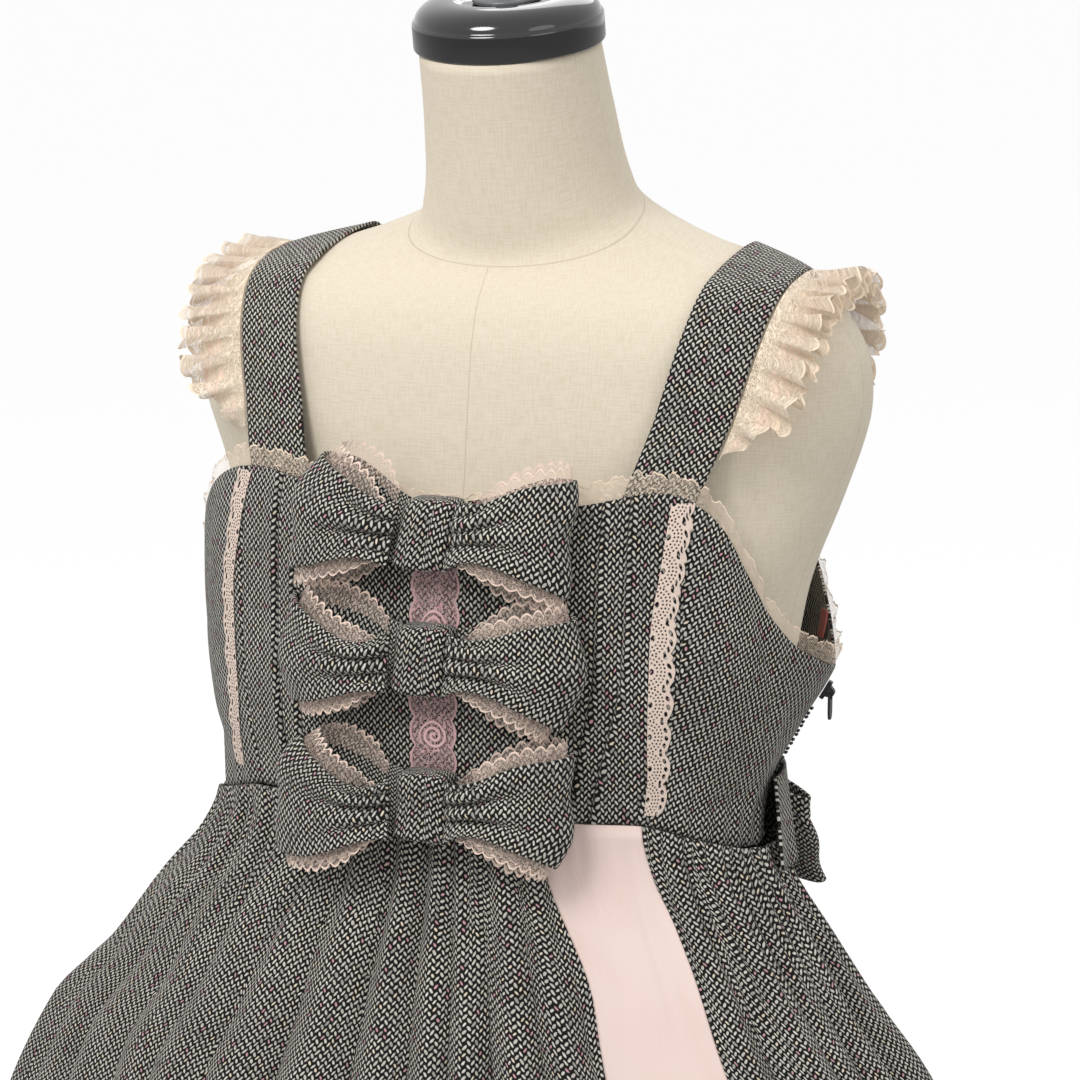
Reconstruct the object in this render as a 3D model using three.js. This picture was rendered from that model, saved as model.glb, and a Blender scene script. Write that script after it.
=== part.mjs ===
// A tweed pinafore dress with lace and bows, standing on a padded dress form.
// Millimetres, +Z up. The front faces -Y, the wearer's left is +X, and the origin is
// the centre of the round base's underside.
import * as THREE from "three";

// Cloth and seams
const TWEED = 1.6;
const SATIN = 1.2;
const LACE = 1.0;
const SEAM = 0.3;
const LACE_OUT = TWEED + 0.7;

// Stand
const BASE_RADIUS = 165;
const BASE_HEIGHT = 20;
const BASE_EDGE = 6;
const POLE_RADIUS = 14;
const FORM_BOTTOM = 740;
const NECK_TOP = 1424;
const CAP_RADIUS = 47.8;
const CAP_BAND = 14;
const CAP_ROUND = { out: 18, up: 10 };
const CAP_DISH = 3;
const CAP_RIM = 4;
const SPINDLE = { flange: 17, flangeHeight: 2.5, radius: 6, height: 12 };

// Dress
const HEM_LEVEL = 455;
const STRAP_WIDTH = 35;
const STRAP_FRONT_AT = 101;
const STRAP_TOP_AT = { left: 127, right: 122 };
const STRAP_BACK_AT = 96;
const STRAP_LIFT = 1;
const STRAP_TUCK = 7;
const STRAP_FLAT = 0.45;
const STRAP_BEHIND = 4.4;
const RUFFLE_WIDTH = 33;
const EDGING_HEIGHT = 11;
const EDGING_GAP = 1.3;
const TRIM_WIDTH = 14;
const CENTRE_LACE_WIDTH = 25;
const SCALLOP_PITCH = 12;
const TUCK_HEIGHT = 1.8;
const TUCK_HALF_TURN = 0.7;
const TUCK_ROUND_TURN = 0.4;
const PANEL_SEAM_TURN = 44;
const SEAM_TURN = 0.08;
const GIRTH_PER_TURN = 2.7;
const ZIP_TURN = 97;
const ZIP_LEVEL = 1103;
const ZIP_BULGE = 3;
const PIN_OUT = 3.6;

// Sash and back bow
const SASH_LOW = 1016;
const SASH_HIGH = 1064;
const SASH_OUT = 5;
const SASH_RAISE = { left: 0, right: 1.6 };
const SASH_START = { left: 88, right: 106 };
const SASH_END = 178.5;
const BACK_FOLD_DEPTH = 25;
const BOW_TUCK = 4;
const KNOT_SEAT = 1.6;
const BACK_BOW_LEVEL = 1030;
const BACK_BOW = { reach: 129, rise: -34, puff: 13, height: 27, pinch: 16.3, knotHeight: 18 };
const BACK_KNOT = { width: 16, depth: 12, height: 20 };
const BACK_TAIL = { length: 235, apart: 4, swing: 30, top: 18, foot: 44, slant: 12, off: 5.5, footOff: 4 };

// A named table: one row for each section or fold.
function table(names, ...rows) {
  return rows.map((row) => Object.fromEntries(names.map((name, k) => [name, row[k]])));
}

// Padded form: half width, front and back depth from the pole's axis, centre line and
// the lean of the section's plane, which follows the shoulders and the neck.
const FORM = table(
  ["level", "half", "front", "back", "mid", "lean"],
  [740, 158, 100, 108, 0, 0],
  [800, 166, 104, 118, 2, 0],
  [860, 154, 100, 96, 0, 0],
  [930, 114, 90, 58, -14, 0],
  [990, 118, 94, 50, -20, 0],
  [1052, 129, 105, 50, -26, 0],
  [1085, 138, 111, 57, -22, 0],
  [1120, 147, 113, 68, -16, 0],
  [1160, 153, 103, 80, -8, 0],
  [1202, 168, 88, 85, -4, 0],
  [1240, 181, 82, 82, -6, 0],
  [1262, 183, 79, 78, -8, 0.01],
  [1281, 178, 76, 73, -10, 0.03],
  [1298, 163, 71, 66, -10, 0.1],
  [1310, 139, 66, 62, -8, 0.16],
  [1317, 108, 63, 60, -6, 0.2],
  [1334, 64, 54, 55, -2, 0.3],
  [1352, 52.5, 57, 49, -4, 0.28],
  [1390, 47.2, 65, 34, -15, 0.22],
  [1424, 44.8, 74, 19, -27, 0.188],
);

const BODICE = table(
  ["level", "right", "left", "front", "back", "mid"],
  [1000, 155, 136, 119, 58, -33],
  [1052, 156, 137, 118, 60, -33],
  [1085, 166, 149, 121, 78, -22],
  [1125, 173, 165, 121, 92, -12],
  [1185, 174.5, 167, 116, 97, -12],
  [1215, 172, 168, 109, 96, -12],
  [1245, 170, 167, 101, 92, -12],
);

// Skirt under its gathered seam: it swings out at the sides and hangs flat in front.
const SKIRT = table(
  ["level", "right", "left", "front", "back", "mid"],
  [455, 372, 336, 222, 254, -6],
  [600, 340, 300, 196, 220, -10],
  [760, 304, 262, 168, 178, -18],
  [905, 248, 201, 140, 122, -26],
  [940, 218, 182, 134, 106, -29],
  [978, 194, 164, 127, 88, -31],
  [1008, 169, 148, 122, 72, -33],
  [1032, 157, 139, 119, 63, -33],
  [1056, 156, 137, 119, 61, -33],
);

const BODICE_TOP = table(
  ["turn", "level"],
  [-180, 1192], [-150, 1199], [-138, 1203], [-128, 1188], [-116, 1158], [-102, 1140],
  [-88, 1138], [-76, 1156], [-66, 1182], [-57, 1202], [-42, 1213], [-24, 1209], [0, 1202],
  [24, 1209], [37, 1215], [45, 1210], [52, 1196], [58, 1174], [64, 1152], [74, 1133],
  [97, 1116], [107, 1120], [118, 1141], [128, 1173], [138, 1198], [150, 1199], [180, 1192],
);

const WAIST = table(
  ["turn", "level"],
  [-180, 1024], [-110, 1026], [-78, 1033], [-60, 1041], [-43, 1050], [0, 1052],
  [43, 1051], [60, 1041], [78, 1032], [110, 1026], [180, 1024],
);

// Ridges of the skirt: turn at the waist and at the hem, spread in degrees, depth.
const FRONT_FOLDS = table(
  ["waist", "hem", "spread", "depth"],
  [-53, -50, 4.2, 17], [-43, -40, 4.0, 16], [-34, -32, 3.6, 19], [-25, -24.5, 3.0, 18],
  [-14, -14, 2.8, 18], [-6, -5, 2.3, 16], [1, 2, 2.0, 15], [6.5, 8, 2.0, 17],
  [13.5, 16.5, 2.4, 20], [19.3, 24.6, 2.2, 18], [34, 39, 4.8, 7], [52, 53, 3.4, 18],
);
const SIDE_FOLDS = 7;
const BACK_FOLDS = 9;

// Turns where the skirt's panels meet, at the waist and at the hem, and how soon they get there.
const PANEL_EDGES = table(
  ["name", "waist", "hem", "ramp"],
  ["front_to_satin", 21.5, 28.8, 6.6],
  ["satin_to_side", 45.2, 48.8, 12],
  ["side_to_back_left", 140, 144, 2.2],
  ["side_to_back_right", -140, -144, 2.2],
  ["front_to_side_right", -44, -38, 2.2],
);

// Turns of the two narrow trims, which follow the figure.
const TRIM_TURN = table(
  ["level", "left", "right"],
  [1040, 49, 55.5], [1070, 46.8, 52.5], [1092, 44, 50], [1114, 41.4, 49.3],
  [1135, 40.4, 49.2], [1156, 40.6, 49], [1180, 42, 47], [1220, 43.3, 44],
);
const TUCK_TURNS = [28.5, 33.5];

// Loops of the front bows, from the top one down. An end's upper and lower corners draw in
// by slantUp and slantLow.
const LOOPS = table(
  ["bow", "word", "level", "reach", "rise", "puff", "height", "slantUp", "slantLow"],
  ["bow_top", "right", 1195, 74.5, 4.5, 12, 28.5, 13, 0],
  ["bow_top", "left", 1195, 70, 0.9, 12, 27.4, 0, 1],
  ["bow_middle", "right", 1134, 80, -0.9, 12, 26.4, 9, 5],
  ["bow_middle", "left", 1134, 77.5, -2.6, 12, 27, 3, 9],
  ["bow_bottom", "right", 1061, 84, -2, 13, 30, 17, 5],
  ["bow_bottom", "left", 1061, 72, 3, 13, 28, 0, 5],
);
const KNOTS = table(
  ["bow", "level", "lean"],
  ["bow_top", 1195, 0.13], ["bow_middle", 1134, 0.08], ["bow_bottom", 1061, 0.03],
);
const BOW_KNOT = { width: 14.6, depth: 10, height: 17.4 };
const BOW_PINCH = 15.6;
const BOW_SKIRT_SLOPE = 0.2;
const LACE_SHOW = 4.5;

const COLOURS = {
  tweed: { color: 0x6b6b66, roughness: 0.95, metalness: 0 },
  satin: { color: 0xeed6cd, roughness: 0.45, metalness: 0 },
  lace: { color: 0xf2d8c6, roughness: 0.85, metalness: 0 },
  rose_lace: { color: 0xd9b0b0, roughness: 0.85, metalness: 0 },
  linen: { color: 0xe2d6b8, roughness: 0.9, metalness: 0 },
  gloss_black: { color: 0x1a1a1a, roughness: 0.25, metalness: 0 },
  steel: { color: 0x77787a, roughness: 0.35, metalness: 1 },
  zip: { color: 0x4a4a4a, roughness: 0.4, metalness: 0.6 },
  ribbon: { color: 0xa85c52, roughness: 0.6, metalness: 0 },
};

const radians = THREE.MathUtils.degToRad;
const clamp = THREE.MathUtils.clamp;
const mix = THREE.MathUtils.lerp;
const ease = (f) => THREE.MathUtils.smoothstep(f, 0, 1);

// Smooth value of a table's column at a place between its rows.
function columnAt(rows, key, name, place) {
  const last = rows.length - 1;
  if (place <= rows[0][key]) return rows[0][name];
  if (place >= rows[last][key]) return rows[last][name];
  let row = 0;
  while (rows[row + 1][key] < place) row += 1;
  const slope = (at) => {
    const low = rows[Math.max(at - 1, 0)];
    const high = rows[Math.min(at + 1, last)];
    return (high[name] - low[name]) / (high[key] - low[key]);
  };
  const span = rows[row + 1][key] - rows[row][key];
  const f = (place - rows[row][key]) / span;
  const rise = rows[row + 1][name] - rows[row][name];
  const start = slope(row) * span;
  const end = slope(row + 1) * span;
  return rows[row][name] + f * (start + f * (3 * rise - 2 * start - end + f * (start + end - 2 * rise)));
}

// Moves a surface out along its normals: across runs to the wearer's left and along
// runs up, so the normals point outwards.
function movedOut(place, distance) {
  const step = 1e-3;
  return (u, v) => {
    const du = place(Math.min(u + step, 1), v).sub(place(Math.max(u - step, 0), v));
    const dv = place(u, Math.min(v + step, 1)).sub(place(u, Math.max(v - step, 0)));
    return place(u, v).addScaledVector(du.cross(dv).normalize(), distance);
  };
}

// A thin closed wall: a grid of points and the same grid moved out.
function wall({ across, along, place, thickness }) {
  const columns = Array.isArray(across) ? across : spread(across);
  const rows = Array.isArray(along) ? along : spread(along);
  const inner = [];
  const outer = [];
  for (const u of columns) {
    for (const v of rows) {
      const deep = typeof thickness === "function" ? thickness(u) : thickness;
      inner.push(place(u, v));
      outer.push(movedOut(place, deep)(u, v));
    }
  }
  const height = rows.length;
  const size = inner.length;
  const id = (layer, i, j) => layer * size + i * height + j;
  const faces = [];
  const quad = (a, b, c, d) => faces.push(a, b, c, a, c, d);
  const lastColumn = columns.length - 1;
  const lastRow = height - 1;
  for (let i = 0; i < lastColumn; i += 1) {
    for (let j = 0; j < lastRow; j += 1) {
      quad(id(1, i, j), id(1, i + 1, j), id(1, i + 1, j + 1), id(1, i, j + 1));
      quad(id(0, i, j), id(0, i, j + 1), id(0, i + 1, j + 1), id(0, i + 1, j));
    }
    quad(id(0, i, 0), id(0, i + 1, 0), id(1, i + 1, 0), id(1, i, 0));
    quad(id(0, i, lastRow), id(1, i, lastRow), id(1, i + 1, lastRow), id(0, i + 1, lastRow));
  }
  for (let j = 0; j < lastRow; j += 1) {
    quad(id(0, 0, j), id(1, 0, j), id(1, 0, j + 1), id(0, 0, j + 1));
    quad(id(0, lastColumn, j), id(0, lastColumn, j + 1), id(1, lastColumn, j + 1), id(1, lastColumn, j));
  }
  return solid([...inner, ...outer], faces);
}

function spread(count) {
  return Array.from({ length: count + 1 }, (_, k) => k / count);
}

// A closed body through stacked rings, each anticlockwise from above, with flat ends.
function loft(rings) {
  const around = rings[0].length;
  const points = rings.flat();
  const faces = [];
  for (let r = 0; r < rings.length - 1; r += 1) {
    for (let k = 0; k < around; k += 1) {
      const a = r * around + k;
      const b = r * around + ((k + 1) % around);
      faces.push(a, b, b + around, a, b + around, a + around);
    }
  }
  const middle = (ring) => ring.reduce((sum, p) => sum.add(p), new THREE.Vector3()).divideScalar(around);
  points.push(middle(rings[0]), middle(rings[rings.length - 1]));
  const top = (rings.length - 1) * around;
  for (let k = 0; k < around; k += 1) {
    const next = (k + 1) % around;
    faces.push(points.length - 2, next, k);
    faces.push(points.length - 1, top + k, top + next);
  }
  return solid(points, faces);
}

function solid(points, faces) {
  const geometry = new THREE.BufferGeometry();
  const numbers = points.flatMap((point) => point.toArray());
  geometry.setAttribute("position", new THREE.Float32BufferAttribute(numbers, 3));
  geometry.setIndex(faces);
  geometry.computeVertexNormals();
  return geometry;
}

// A body turned about the upright axis from rows of radius and height.
function turned(profile, around) {
  const points = profile.map(([radius, height]) => new THREE.Vector2(radius, height));
  return new THREE.LatheGeometry(points, around).rotateX(Math.PI / 2);
}

// The same body for the other side of the wearer.
function mirrored(geometry) {
  const copy = geometry.clone();
  const place = copy.getAttribute("position");
  for (let k = 0; k < place.count; k += 1) place.setX(k, -place.getX(k));
  const index = copy.getIndex();
  for (let k = 0; k < index.count; k += 3) {
    const second = index.getX(k + 1);
    index.setX(k + 1, index.getX(k + 2));
    index.setX(k + 2, second);
  }
  copy.computeVertexNormals();
  return copy;
}

const model = new THREE.Group();

function add(name, geometry, finish, parent = model) {
  const mesh = new THREE.Mesh(geometry, new THREE.MeshStandardMaterial(COLOURS[finish]));
  mesh.name = name;
  parent.add(mesh);
  return mesh;
}

// Point of a section: turn 0 is the centre front, and 90 degrees is the wearer's left.
function sectionPoint(half, front, back, mid, turn, level) {
  const angle = radians(turn);
  const deep = Math.cos(angle) > 0 ? front + mid : back - mid;
  return new THREE.Vector3(half * Math.sin(angle), mid - deep * Math.cos(angle), level);
}

function formPoint(turn, level) {
  const at = (name) => columnAt(FORM, "level", name, level);
  const point = sectionPoint(at("half"), at("front"), at("back"), at("mid"), turn, level);
  point.z += at("lean") * (point.y - at("mid"));
  return point;
}

function bodicePoint(turn, level) {
  const at = (name) => columnAt(BODICE, "level", name, level);
  const half = Math.sin(radians(turn)) > 0 ? at("left") : at("right");
  const point = sectionPoint(half, at("front"), at("back"), at("mid"), turn, level);
  const nearZip = (turn - ZIP_TURN) / 17;
  const bulge = ZIP_BULGE * Math.exp(-nearZip * nearZip) * ease((level - 1062) / 60);
  const outward = new THREE.Vector3(point.x, point.y - at("mid"), 0).normalize();
  return point.addScaledVector(outward, bulge);
}

// Uneven ridges for the sides and the back, which the front's table doesn't reach.
function fillFolds(first, last, count, seed) {
  const step = (last - first) / count;
  return spread(count - 1).map((_, k) => {
    const wander = Math.sin(k * 2.4 + seed);
    const turn = first + step * (k + 0.5) + step * 0.18 * wander;
    const width = step * (0.3 + 0.05 * wander);
    return { waist: turn, hem: turn + 0.8 * wander, spread: width, depth: 19 + 6 * wander };
  });
}

const SKIRT_FOLDS = [
  ...FRONT_FOLDS,
  ...fillFolds(58, 140, SIDE_FOLDS, 1),
  ...fillFolds(140, 220, BACK_FOLDS, 2),
  ...fillFolds(220, 302, SIDE_FOLDS, 3),
];

// How far the gathers have opened at a level, from the seam down.
function foldGrowth(level, seam) {
  return 0.14 + 0.86 * ease(clamp((seam - level) / 190, 0, 1));
}

function skirtPoint(turn, level) {
  const at = (name) => columnAt(SKIRT, "level", name, level);
  const half = Math.sin(radians(turn)) > 0 ? at("left") : at("right");
  const point = sectionPoint(half, at("front"), at("back"), at("mid"), turn, level);
  const outward = new THREE.Vector3(point.x / half, (point.y - at("mid")) / at("front"), 0).normalize();
  const seam = waistLevel(turn);
  const drop = clamp((seam - level) / (seam - HEM_LEVEL), 0, 1);
  let ridge = 0;
  for (const fold of SKIRT_FOLDS) {
    const centre = mix(fold.waist, fold.hem, Math.min(drop * 3, 1));
    const away = wrapTurn(turn - centre) / fold.spread;
    if (Math.abs(away) < 3) ridge += fold.depth * Math.exp(-away * away);
  }
  return point.addScaledVector(outward, ridge * foldGrowth(level, seam));
}

function wrapTurn(turn) {
  return turn - 360 * Math.round(turn / 360);
}

const waistLevel = (turn) => columnAt(WAIST, "turn", "level", wrapTurn(turn));
const topLevel = (turn) => columnAt(BODICE_TOP, "turn", "level", wrapTurn(turn));

// Stand and padded form
function stand() {
  const base = turned([
    [0, 0],
    [BASE_RADIUS, 0],
    [BASE_RADIUS, BASE_HEIGHT - BASE_EDGE],
    [BASE_RADIUS - BASE_EDGE * 0.3, BASE_HEIGHT - BASE_EDGE * 0.3],
    [BASE_RADIUS - BASE_EDGE, BASE_HEIGHT],
    [0, BASE_HEIGHT],
  ], 32);
  add("base_disc", base, "steel");
  const length = FORM_BOTTOM - BASE_HEIGHT - 2 * SEAM;
  const pole = new THREE.CylinderGeometry(POLE_RADIUS, POLE_RADIUS, length, 16);
  pole.rotateX(Math.PI / 2).translate(0, 0, BASE_HEIGHT + SEAM + length / 2);
  add("pole", pole, "steel");
}

function paddedForm() {
  const AROUND = 28;
  const levels = [
    740, 800, 860, 895, 930, 990, 1052, 1085, 1120, 1160, 1202, 1240,
    1262, 1273, 1281, 1290, 1298, 1304, 1310, 1317, 1334, 1352, 1390, 1424,
  ];
  const rings = levels.map((level) => (
    Array.from({ length: AROUND }, (_, k) => formPoint((k * 360) / AROUND, level))
  ));
  add("form_torso", loft(rings), "linen");

  const at = (name) => columnAt(FORM, "level", name, NECK_TOP);
  const cap = new THREE.Group();
  cap.position.set(0, at("mid"), NECK_TOP);
  cap.rotation.x = Math.atan(at("lean"));
  model.add(cap);
  const top = CAP_BAND + CAP_ROUND.up;
  const flat = CAP_RADIUS - CAP_ROUND.out;
  const rounded = spread(3).map((f) => {
    const angle = f * (Math.PI / 2);
    return [flat + CAP_ROUND.out * Math.cos(angle), CAP_BAND + CAP_ROUND.up * Math.sin(angle)];
  });
  const dished = [[flat - CAP_RIM, top], [flat - CAP_RIM - 3, top - CAP_DISH], [0, top - CAP_DISH]];
  const capSolid = turned([[0, 0], [CAP_RADIUS, 0], ...rounded, ...dished], 24);
  add("neck_cap", capSolid.translate(0, 0, SEAM), "gloss_black", cap);
  const stub = turned([
    [0, 0],
    [SPINDLE.flange, 0],
    [SPINDLE.flange, SPINDLE.flangeHeight],
    [SPINDLE.radius, SPINDLE.flangeHeight + 1],
    [SPINDLE.radius, SPINDLE.height],
    [0, SPINDLE.height],
  ], 12);
  add("cap_spindle", stub.translate(0, 0, top - CAP_DISH + 2 * SEAM), "steel", cap);
}

// Bodice panels between two turns, each from the waist seam to the top edge.
function bodicePlace(fromTurn, toTurn) {
  return (u, v) => {
    const turn = mix(fromTurn, toTurn, u);
    return bodicePoint(turn, mix(waistLevel(turn) + SEAM, topLevel(turn), v));
  };
}

function bodice() {
  const front = PANEL_SEAM_TURN;
  const tuckFoot = TUCK_HALF_TURN + TUCK_ROUND_TURN;
  const tuckEdges = TUCK_TURNS.flatMap((turn) => (
    [-tuckFoot, -TUCK_HALF_TURN, TUCK_HALF_TURN, tuckFoot].map((away) => turn + away)
  ));
  const plainTurns = [0, 9, 18, 25, 39, front];
  const halfTurns = [...plainTurns, ...tuckEdges].sort((a, b) => a - b);
  const turns = [...halfTurns.slice(1).map((turn) => -turn).reverse(), ...halfTurns];
  const across = turns.map((turn) => (turn + front) / (2 * front));
  const tuck = (u) => {
    const turn = Math.abs(mix(-front, front, u));
    return TUCK_TURNS.some((centre) => Math.abs(turn - centre) < TUCK_HALF_TURN + 0.2) ? TUCK_HEIGHT : 0;
  };
  add("bodice_front", wall({
    across, along: 8, place: bodicePlace(-front, front), thickness: (u) => TWEED + tuck(u),
  }), "tweed");
  const side = { across: 11, along: 8, thickness: TWEED };
  const left = bodicePlace(front + SEAM_TURN, ZIP_TURN - SEAM_TURN);
  const right = bodicePlace(-ZIP_TURN + SEAM_TURN, -front - SEAM_TURN);
  const back = bodicePlace(ZIP_TURN + SEAM_TURN, 360 - ZIP_TURN - SEAM_TURN);
  add("bodice_side_left", wall({ ...side, place: left }), "tweed");
  add("bodice_side_right", wall({ ...side, place: right }), "tweed");
  add("bodice_back", wall({ across: 26, along: 7, place: back, thickness: TWEED }), "tweed");
}

// Scallop of a lace edge: 0 in the notch and 1 at the crown.
const scallop = (length) => Math.abs(Math.sin((Math.PI * length) / SCALLOP_PITCH));

function topEdging(fromTurn, toTurn, samples) {
  const reach = (toTurn - fromTurn) * GIRTH_PER_TURN;
  return wall({
    across: samples,
    along: 1,
    thickness: LACE,
    place: (u, v) => {
      const turn = mix(fromTurn, toTurn, u);
      const height = EDGING_HEIGHT * (0.78 + 0.22 * scallop(u * reach));
      return bodicePoint(turn, topLevel(turn) + EDGING_GAP + v * height);
    },
  });
}

// Straight lace sewn down the bodice: turns either side of a centre, scalloped at its edges.
function layOnBodice(centreTurn, width, inset) {
  const place = (u, v) => {
    const level = mix(waistLevel(0) + 4, topLevel(centreTurn(1200)) - 2, v);
    const centre = centreTurn(level);
    const wave = inset * (1 - scallop(level));
    const across = mix(-width / 2, width / 2, u) * (1 - wave / width);
    return bodicePoint(centre + across / GIRTH_PER_TURN, level);
  };
  const lay = movedOut(place, LACE_OUT);
  return wall({ across: 1, along: 39, place: lay, thickness: LACE });
}

function bodiceLace() {
  add("edging_front", topEdging(-ZIP_TURN, ZIP_TURN, 76), "lace");
  add("edging_back", topEdging(ZIP_TURN + 0.4, 360 - ZIP_TURN - 0.4, 60), "lace");
  const turnAt = (level, word) => columnAt(TRIM_TURN, "level", word, level);
  add("lace_trim_left", layOnBodice((level) => turnAt(level, "left"), TRIM_WIDTH, 3), "lace");
  add("lace_trim_right", layOnBodice((level) => -turnAt(level, "right"), TRIM_WIDTH, 3), "lace");
  add("centre_lace", layOnBodice(() => 0, CENTRE_LACE_WIDTH, 4), "rose_lace");
}

// Level where the form's shoulder is as wide as a place across it.
function shoulderLevel(x) {
  let low = 1262;
  let high = 1428;
  for (let k = 0; k < 40; k += 1) {
    const level = (low + high) / 2;
    if (columnAt(FORM, "level", "half", level) > Math.abs(x)) low = level;
    else high = level;
  }
  return low;
}

// Depth of the bodice's inner face at a place across it, on its front or its back.
function bodiceDepth(x, level, front) {
  const half = columnAt(BODICE, "level", x > 0 ? "left" : "right", level);
  const turn = THREE.MathUtils.radToDeg(Math.asin(clamp(x / half, -1, 1)));
  return bodicePoint(front ? turn : 180 - turn, level).y;
}

// Strap surface: from the front top edge over the shoulder to the back top edge.
function strapPlace(side) {
  return (u, v) => {
    const swing = (v - 0.5) * Math.PI;
    const front = v < 0.5;
    const end = Math.abs(v - 0.5) * 2;
    const topAt = side > 0 ? STRAP_TOP_AT.left : STRAP_TOP_AT.right;
    const centre = mix(topAt, front ? STRAP_FRONT_AT : STRAP_BACK_AT, end ** 2.5);
    const across = side > 0 ? mix(-0.5, 0.5, u) : mix(0.5, -0.5, u);
    const x = centre + across * STRAP_WIDTH;
    const top = shoulderLevel(x);
    const endLevel = (front ? 1216 : 1201) - STRAP_TUCK;
    const level = mix(endLevel, top, Math.cos(swing));
    const at = (name) => columnAt(FORM, "level", name, level);
    const inside = Math.sqrt(Math.max(0, 1 - (x / at("half")) ** 2));
    const deep = front ? -(at("front") + at("mid")) : at("back") - at("mid");
    const point = new THREE.Vector3(side * x, at("mid") + deep * inside, level);
    point.z += at("lean") * (point.y - at("mid"));
    const away = STRAP_LIFT + (front ? 2 : 21 * end) * Math.sin(Math.PI * end) * end;
    const outward = new THREE.Vector3(0, Math.sin(swing), Math.cos(swing));
    point.addScaledVector(outward, away);
    const edge = bodiceDepth(side * x, level, front);
    const middle = bodiceDepth(side * centre, level, front);
    const hang = mix(edge, middle, front ? STRAP_FLAT : 0);
    const tucked = hang + (front ? 1 : -1) * (SEAM + TWEED + (front ? STRAP_BEHIND : 1));
    const blend = ease(clamp((end - 0.42) / 0.5, 0, 1));
    point.y = mix(point.y, tucked, blend);
    return point;
  };
}

function ruffleWidth(v) {
  return 5 + (RUFFLE_WIDTH - 5) * ease(clamp(Math.min(v, 1 - v) / 0.13, 0, 1));
}

// Gathered lace along the strap's outer edge, falling outwards over the shoulder in waves.
function rufflePlace(side) {
  const strap = strapPlace(side);
  const waves = 17;
  return (u, v) => {
    const out = side > 0 ? u : 1 - u;
    const along = 0.065 + 0.87 * v;
    const edge = strap(side > 0 ? 1 : 0, along);
    const swing = (along - 0.5) * Math.PI;
    const outward = new THREE.Vector3(0, Math.sin(swing), Math.cos(swing));
    const direction = new THREE.Vector3(side * 0.9, 0, -0.42).addScaledVector(outward, 0.08);
    const wave = Math.sin(2 * Math.PI * waves * v + 1.2 * Math.sin(9 * v));
    const lift = 1.5 + 5.5 * out * wave + 3.5 * out;
    edge.x += side * (SEAM + 1.5);
    return edge.addScaledVector(direction, out * ruffleWidth(v)).addScaledVector(outward, lift);
  };
}

function straps() {
  for (const [word, side] of [["left", 1], ["right", -1]]) {
    add(`strap_${word}`, wall({
      across: 2, along: 24, place: strapPlace(side), thickness: TWEED,
    }), "tweed");
    add(`strap_ruffle_${word}`, wall({
      across: 2, along: 68, place: rufflePlace(side), thickness: LACE,
    }), "lace");
  }
}

// A bow's loop for the wearer's left: cloth runs out in front, folds and comes back.
function loopPlace({
  reach, rise, puff, height, hem = 0, pinch, knotHeight, level, ground,
  slantUp = 0, slantLow = 0, lean = 0,
}) {
  const open = radians(24);
  const tip = (1 - Math.cos(open)) / 2;
  return (u, v) => {
    const angle = mix(open, 2 * Math.PI - open, u);
    const out = (1 - Math.cos(angle)) / 2;
    const run = (out - tip) / (1 - tip);
    const high = 2 * v - 1;
    const tall = mix(knotHeight, height, ease(clamp(run * 1.25, 0, 1)));
    const offset = high * (tall + hem * ease(run * 1.6));
    const slant = (high > 0 ? slantUp : slantLow) * (offset / tall) ** 2;
    const x = mix(pinch + lean * offset, reach - slant, run);
    const bend = 1 - 0.2 * Math.min((offset / tall) ** 2, 1.6) * run;
    const forward = puff * (1 + Math.sin(angle) * bend) + 1.5;
    const z = level + rise * run + offset;
    return new THREE.Vector3(x, ground(x, z) - forward, z);
  };
}

// Outer face of the bodice's laces, and of the skirt's gathers below the waist seam.
function bowGround(x, level) {
  const below = Math.max(0, (1061 - level) * BOW_SKIRT_SLOPE);
  return bodiceDepth(x, level, true) - LACE_OUT - LACE - SEAM - below;
}

function knot(ground, level, size, lean = 0) {
  const AROUND = 12;
  const heights = [-1, -0.9, -0.6, 0, 0.6, 0.9, 1];
  const square = (value) => Math.sign(value) * Math.abs(value) ** 0.6;
  const rings = heights.map((h) => {
    const round = 0.35 + 0.65 * (1 - h ** 4) ** 0.4;
    const z = level + h * size.height;
    const middle = ground(0, z) - size.depth;
    return Array.from({ length: AROUND }, (_, k) => {
      const angle = (k / AROUND) * 2 * Math.PI;
      const x = size.width * square(Math.sin(angle)) * round + lean * h * size.height;
      return new THREE.Vector3(x, middle - size.depth * square(Math.cos(angle)) * round, z);
    });
  });
  return loft(rings);
}

function frontBows() {
  for (const loop of LOOPS) {
    const sign = loop.word === "left" ? 1 : -1;
    const { lean } = KNOTS.find((row) => row.bow === loop.bow);
    const shape = {
      ...loop,
      pinch: BOW_PINCH,
      knotHeight: 16,
      lean: sign * lean,
      ground: (x, z) => bowGround(sign * x, z),
    };
    const turnRound = sign > 0 ? (geometry) => geometry : mirrored;
    const lining = movedOut(loopPlace({ ...shape, hem: LACE_SHOW }), -(2 * SEAM + LACE));
    const trimmed = (u, v) => lining(mix(0.07, 0.93, u), v);
    add(`${loop.bow}_${loop.word}`, turnRound(wall({
      across: 16, along: 2, place: loopPlace(shape), thickness: TWEED,
    })), "tweed");
    add(`${loop.bow}_lace_${loop.word}`, turnRound(wall({
      across: 14, along: 2, place: trimmed, thickness: LACE,
    })), "lace");
  }
  for (const { bow, level, lean } of KNOTS) {
    add(`${bow}_knot`, knot(bowGround, level, BOW_KNOT, lean), "tweed");
  }
}

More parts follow.
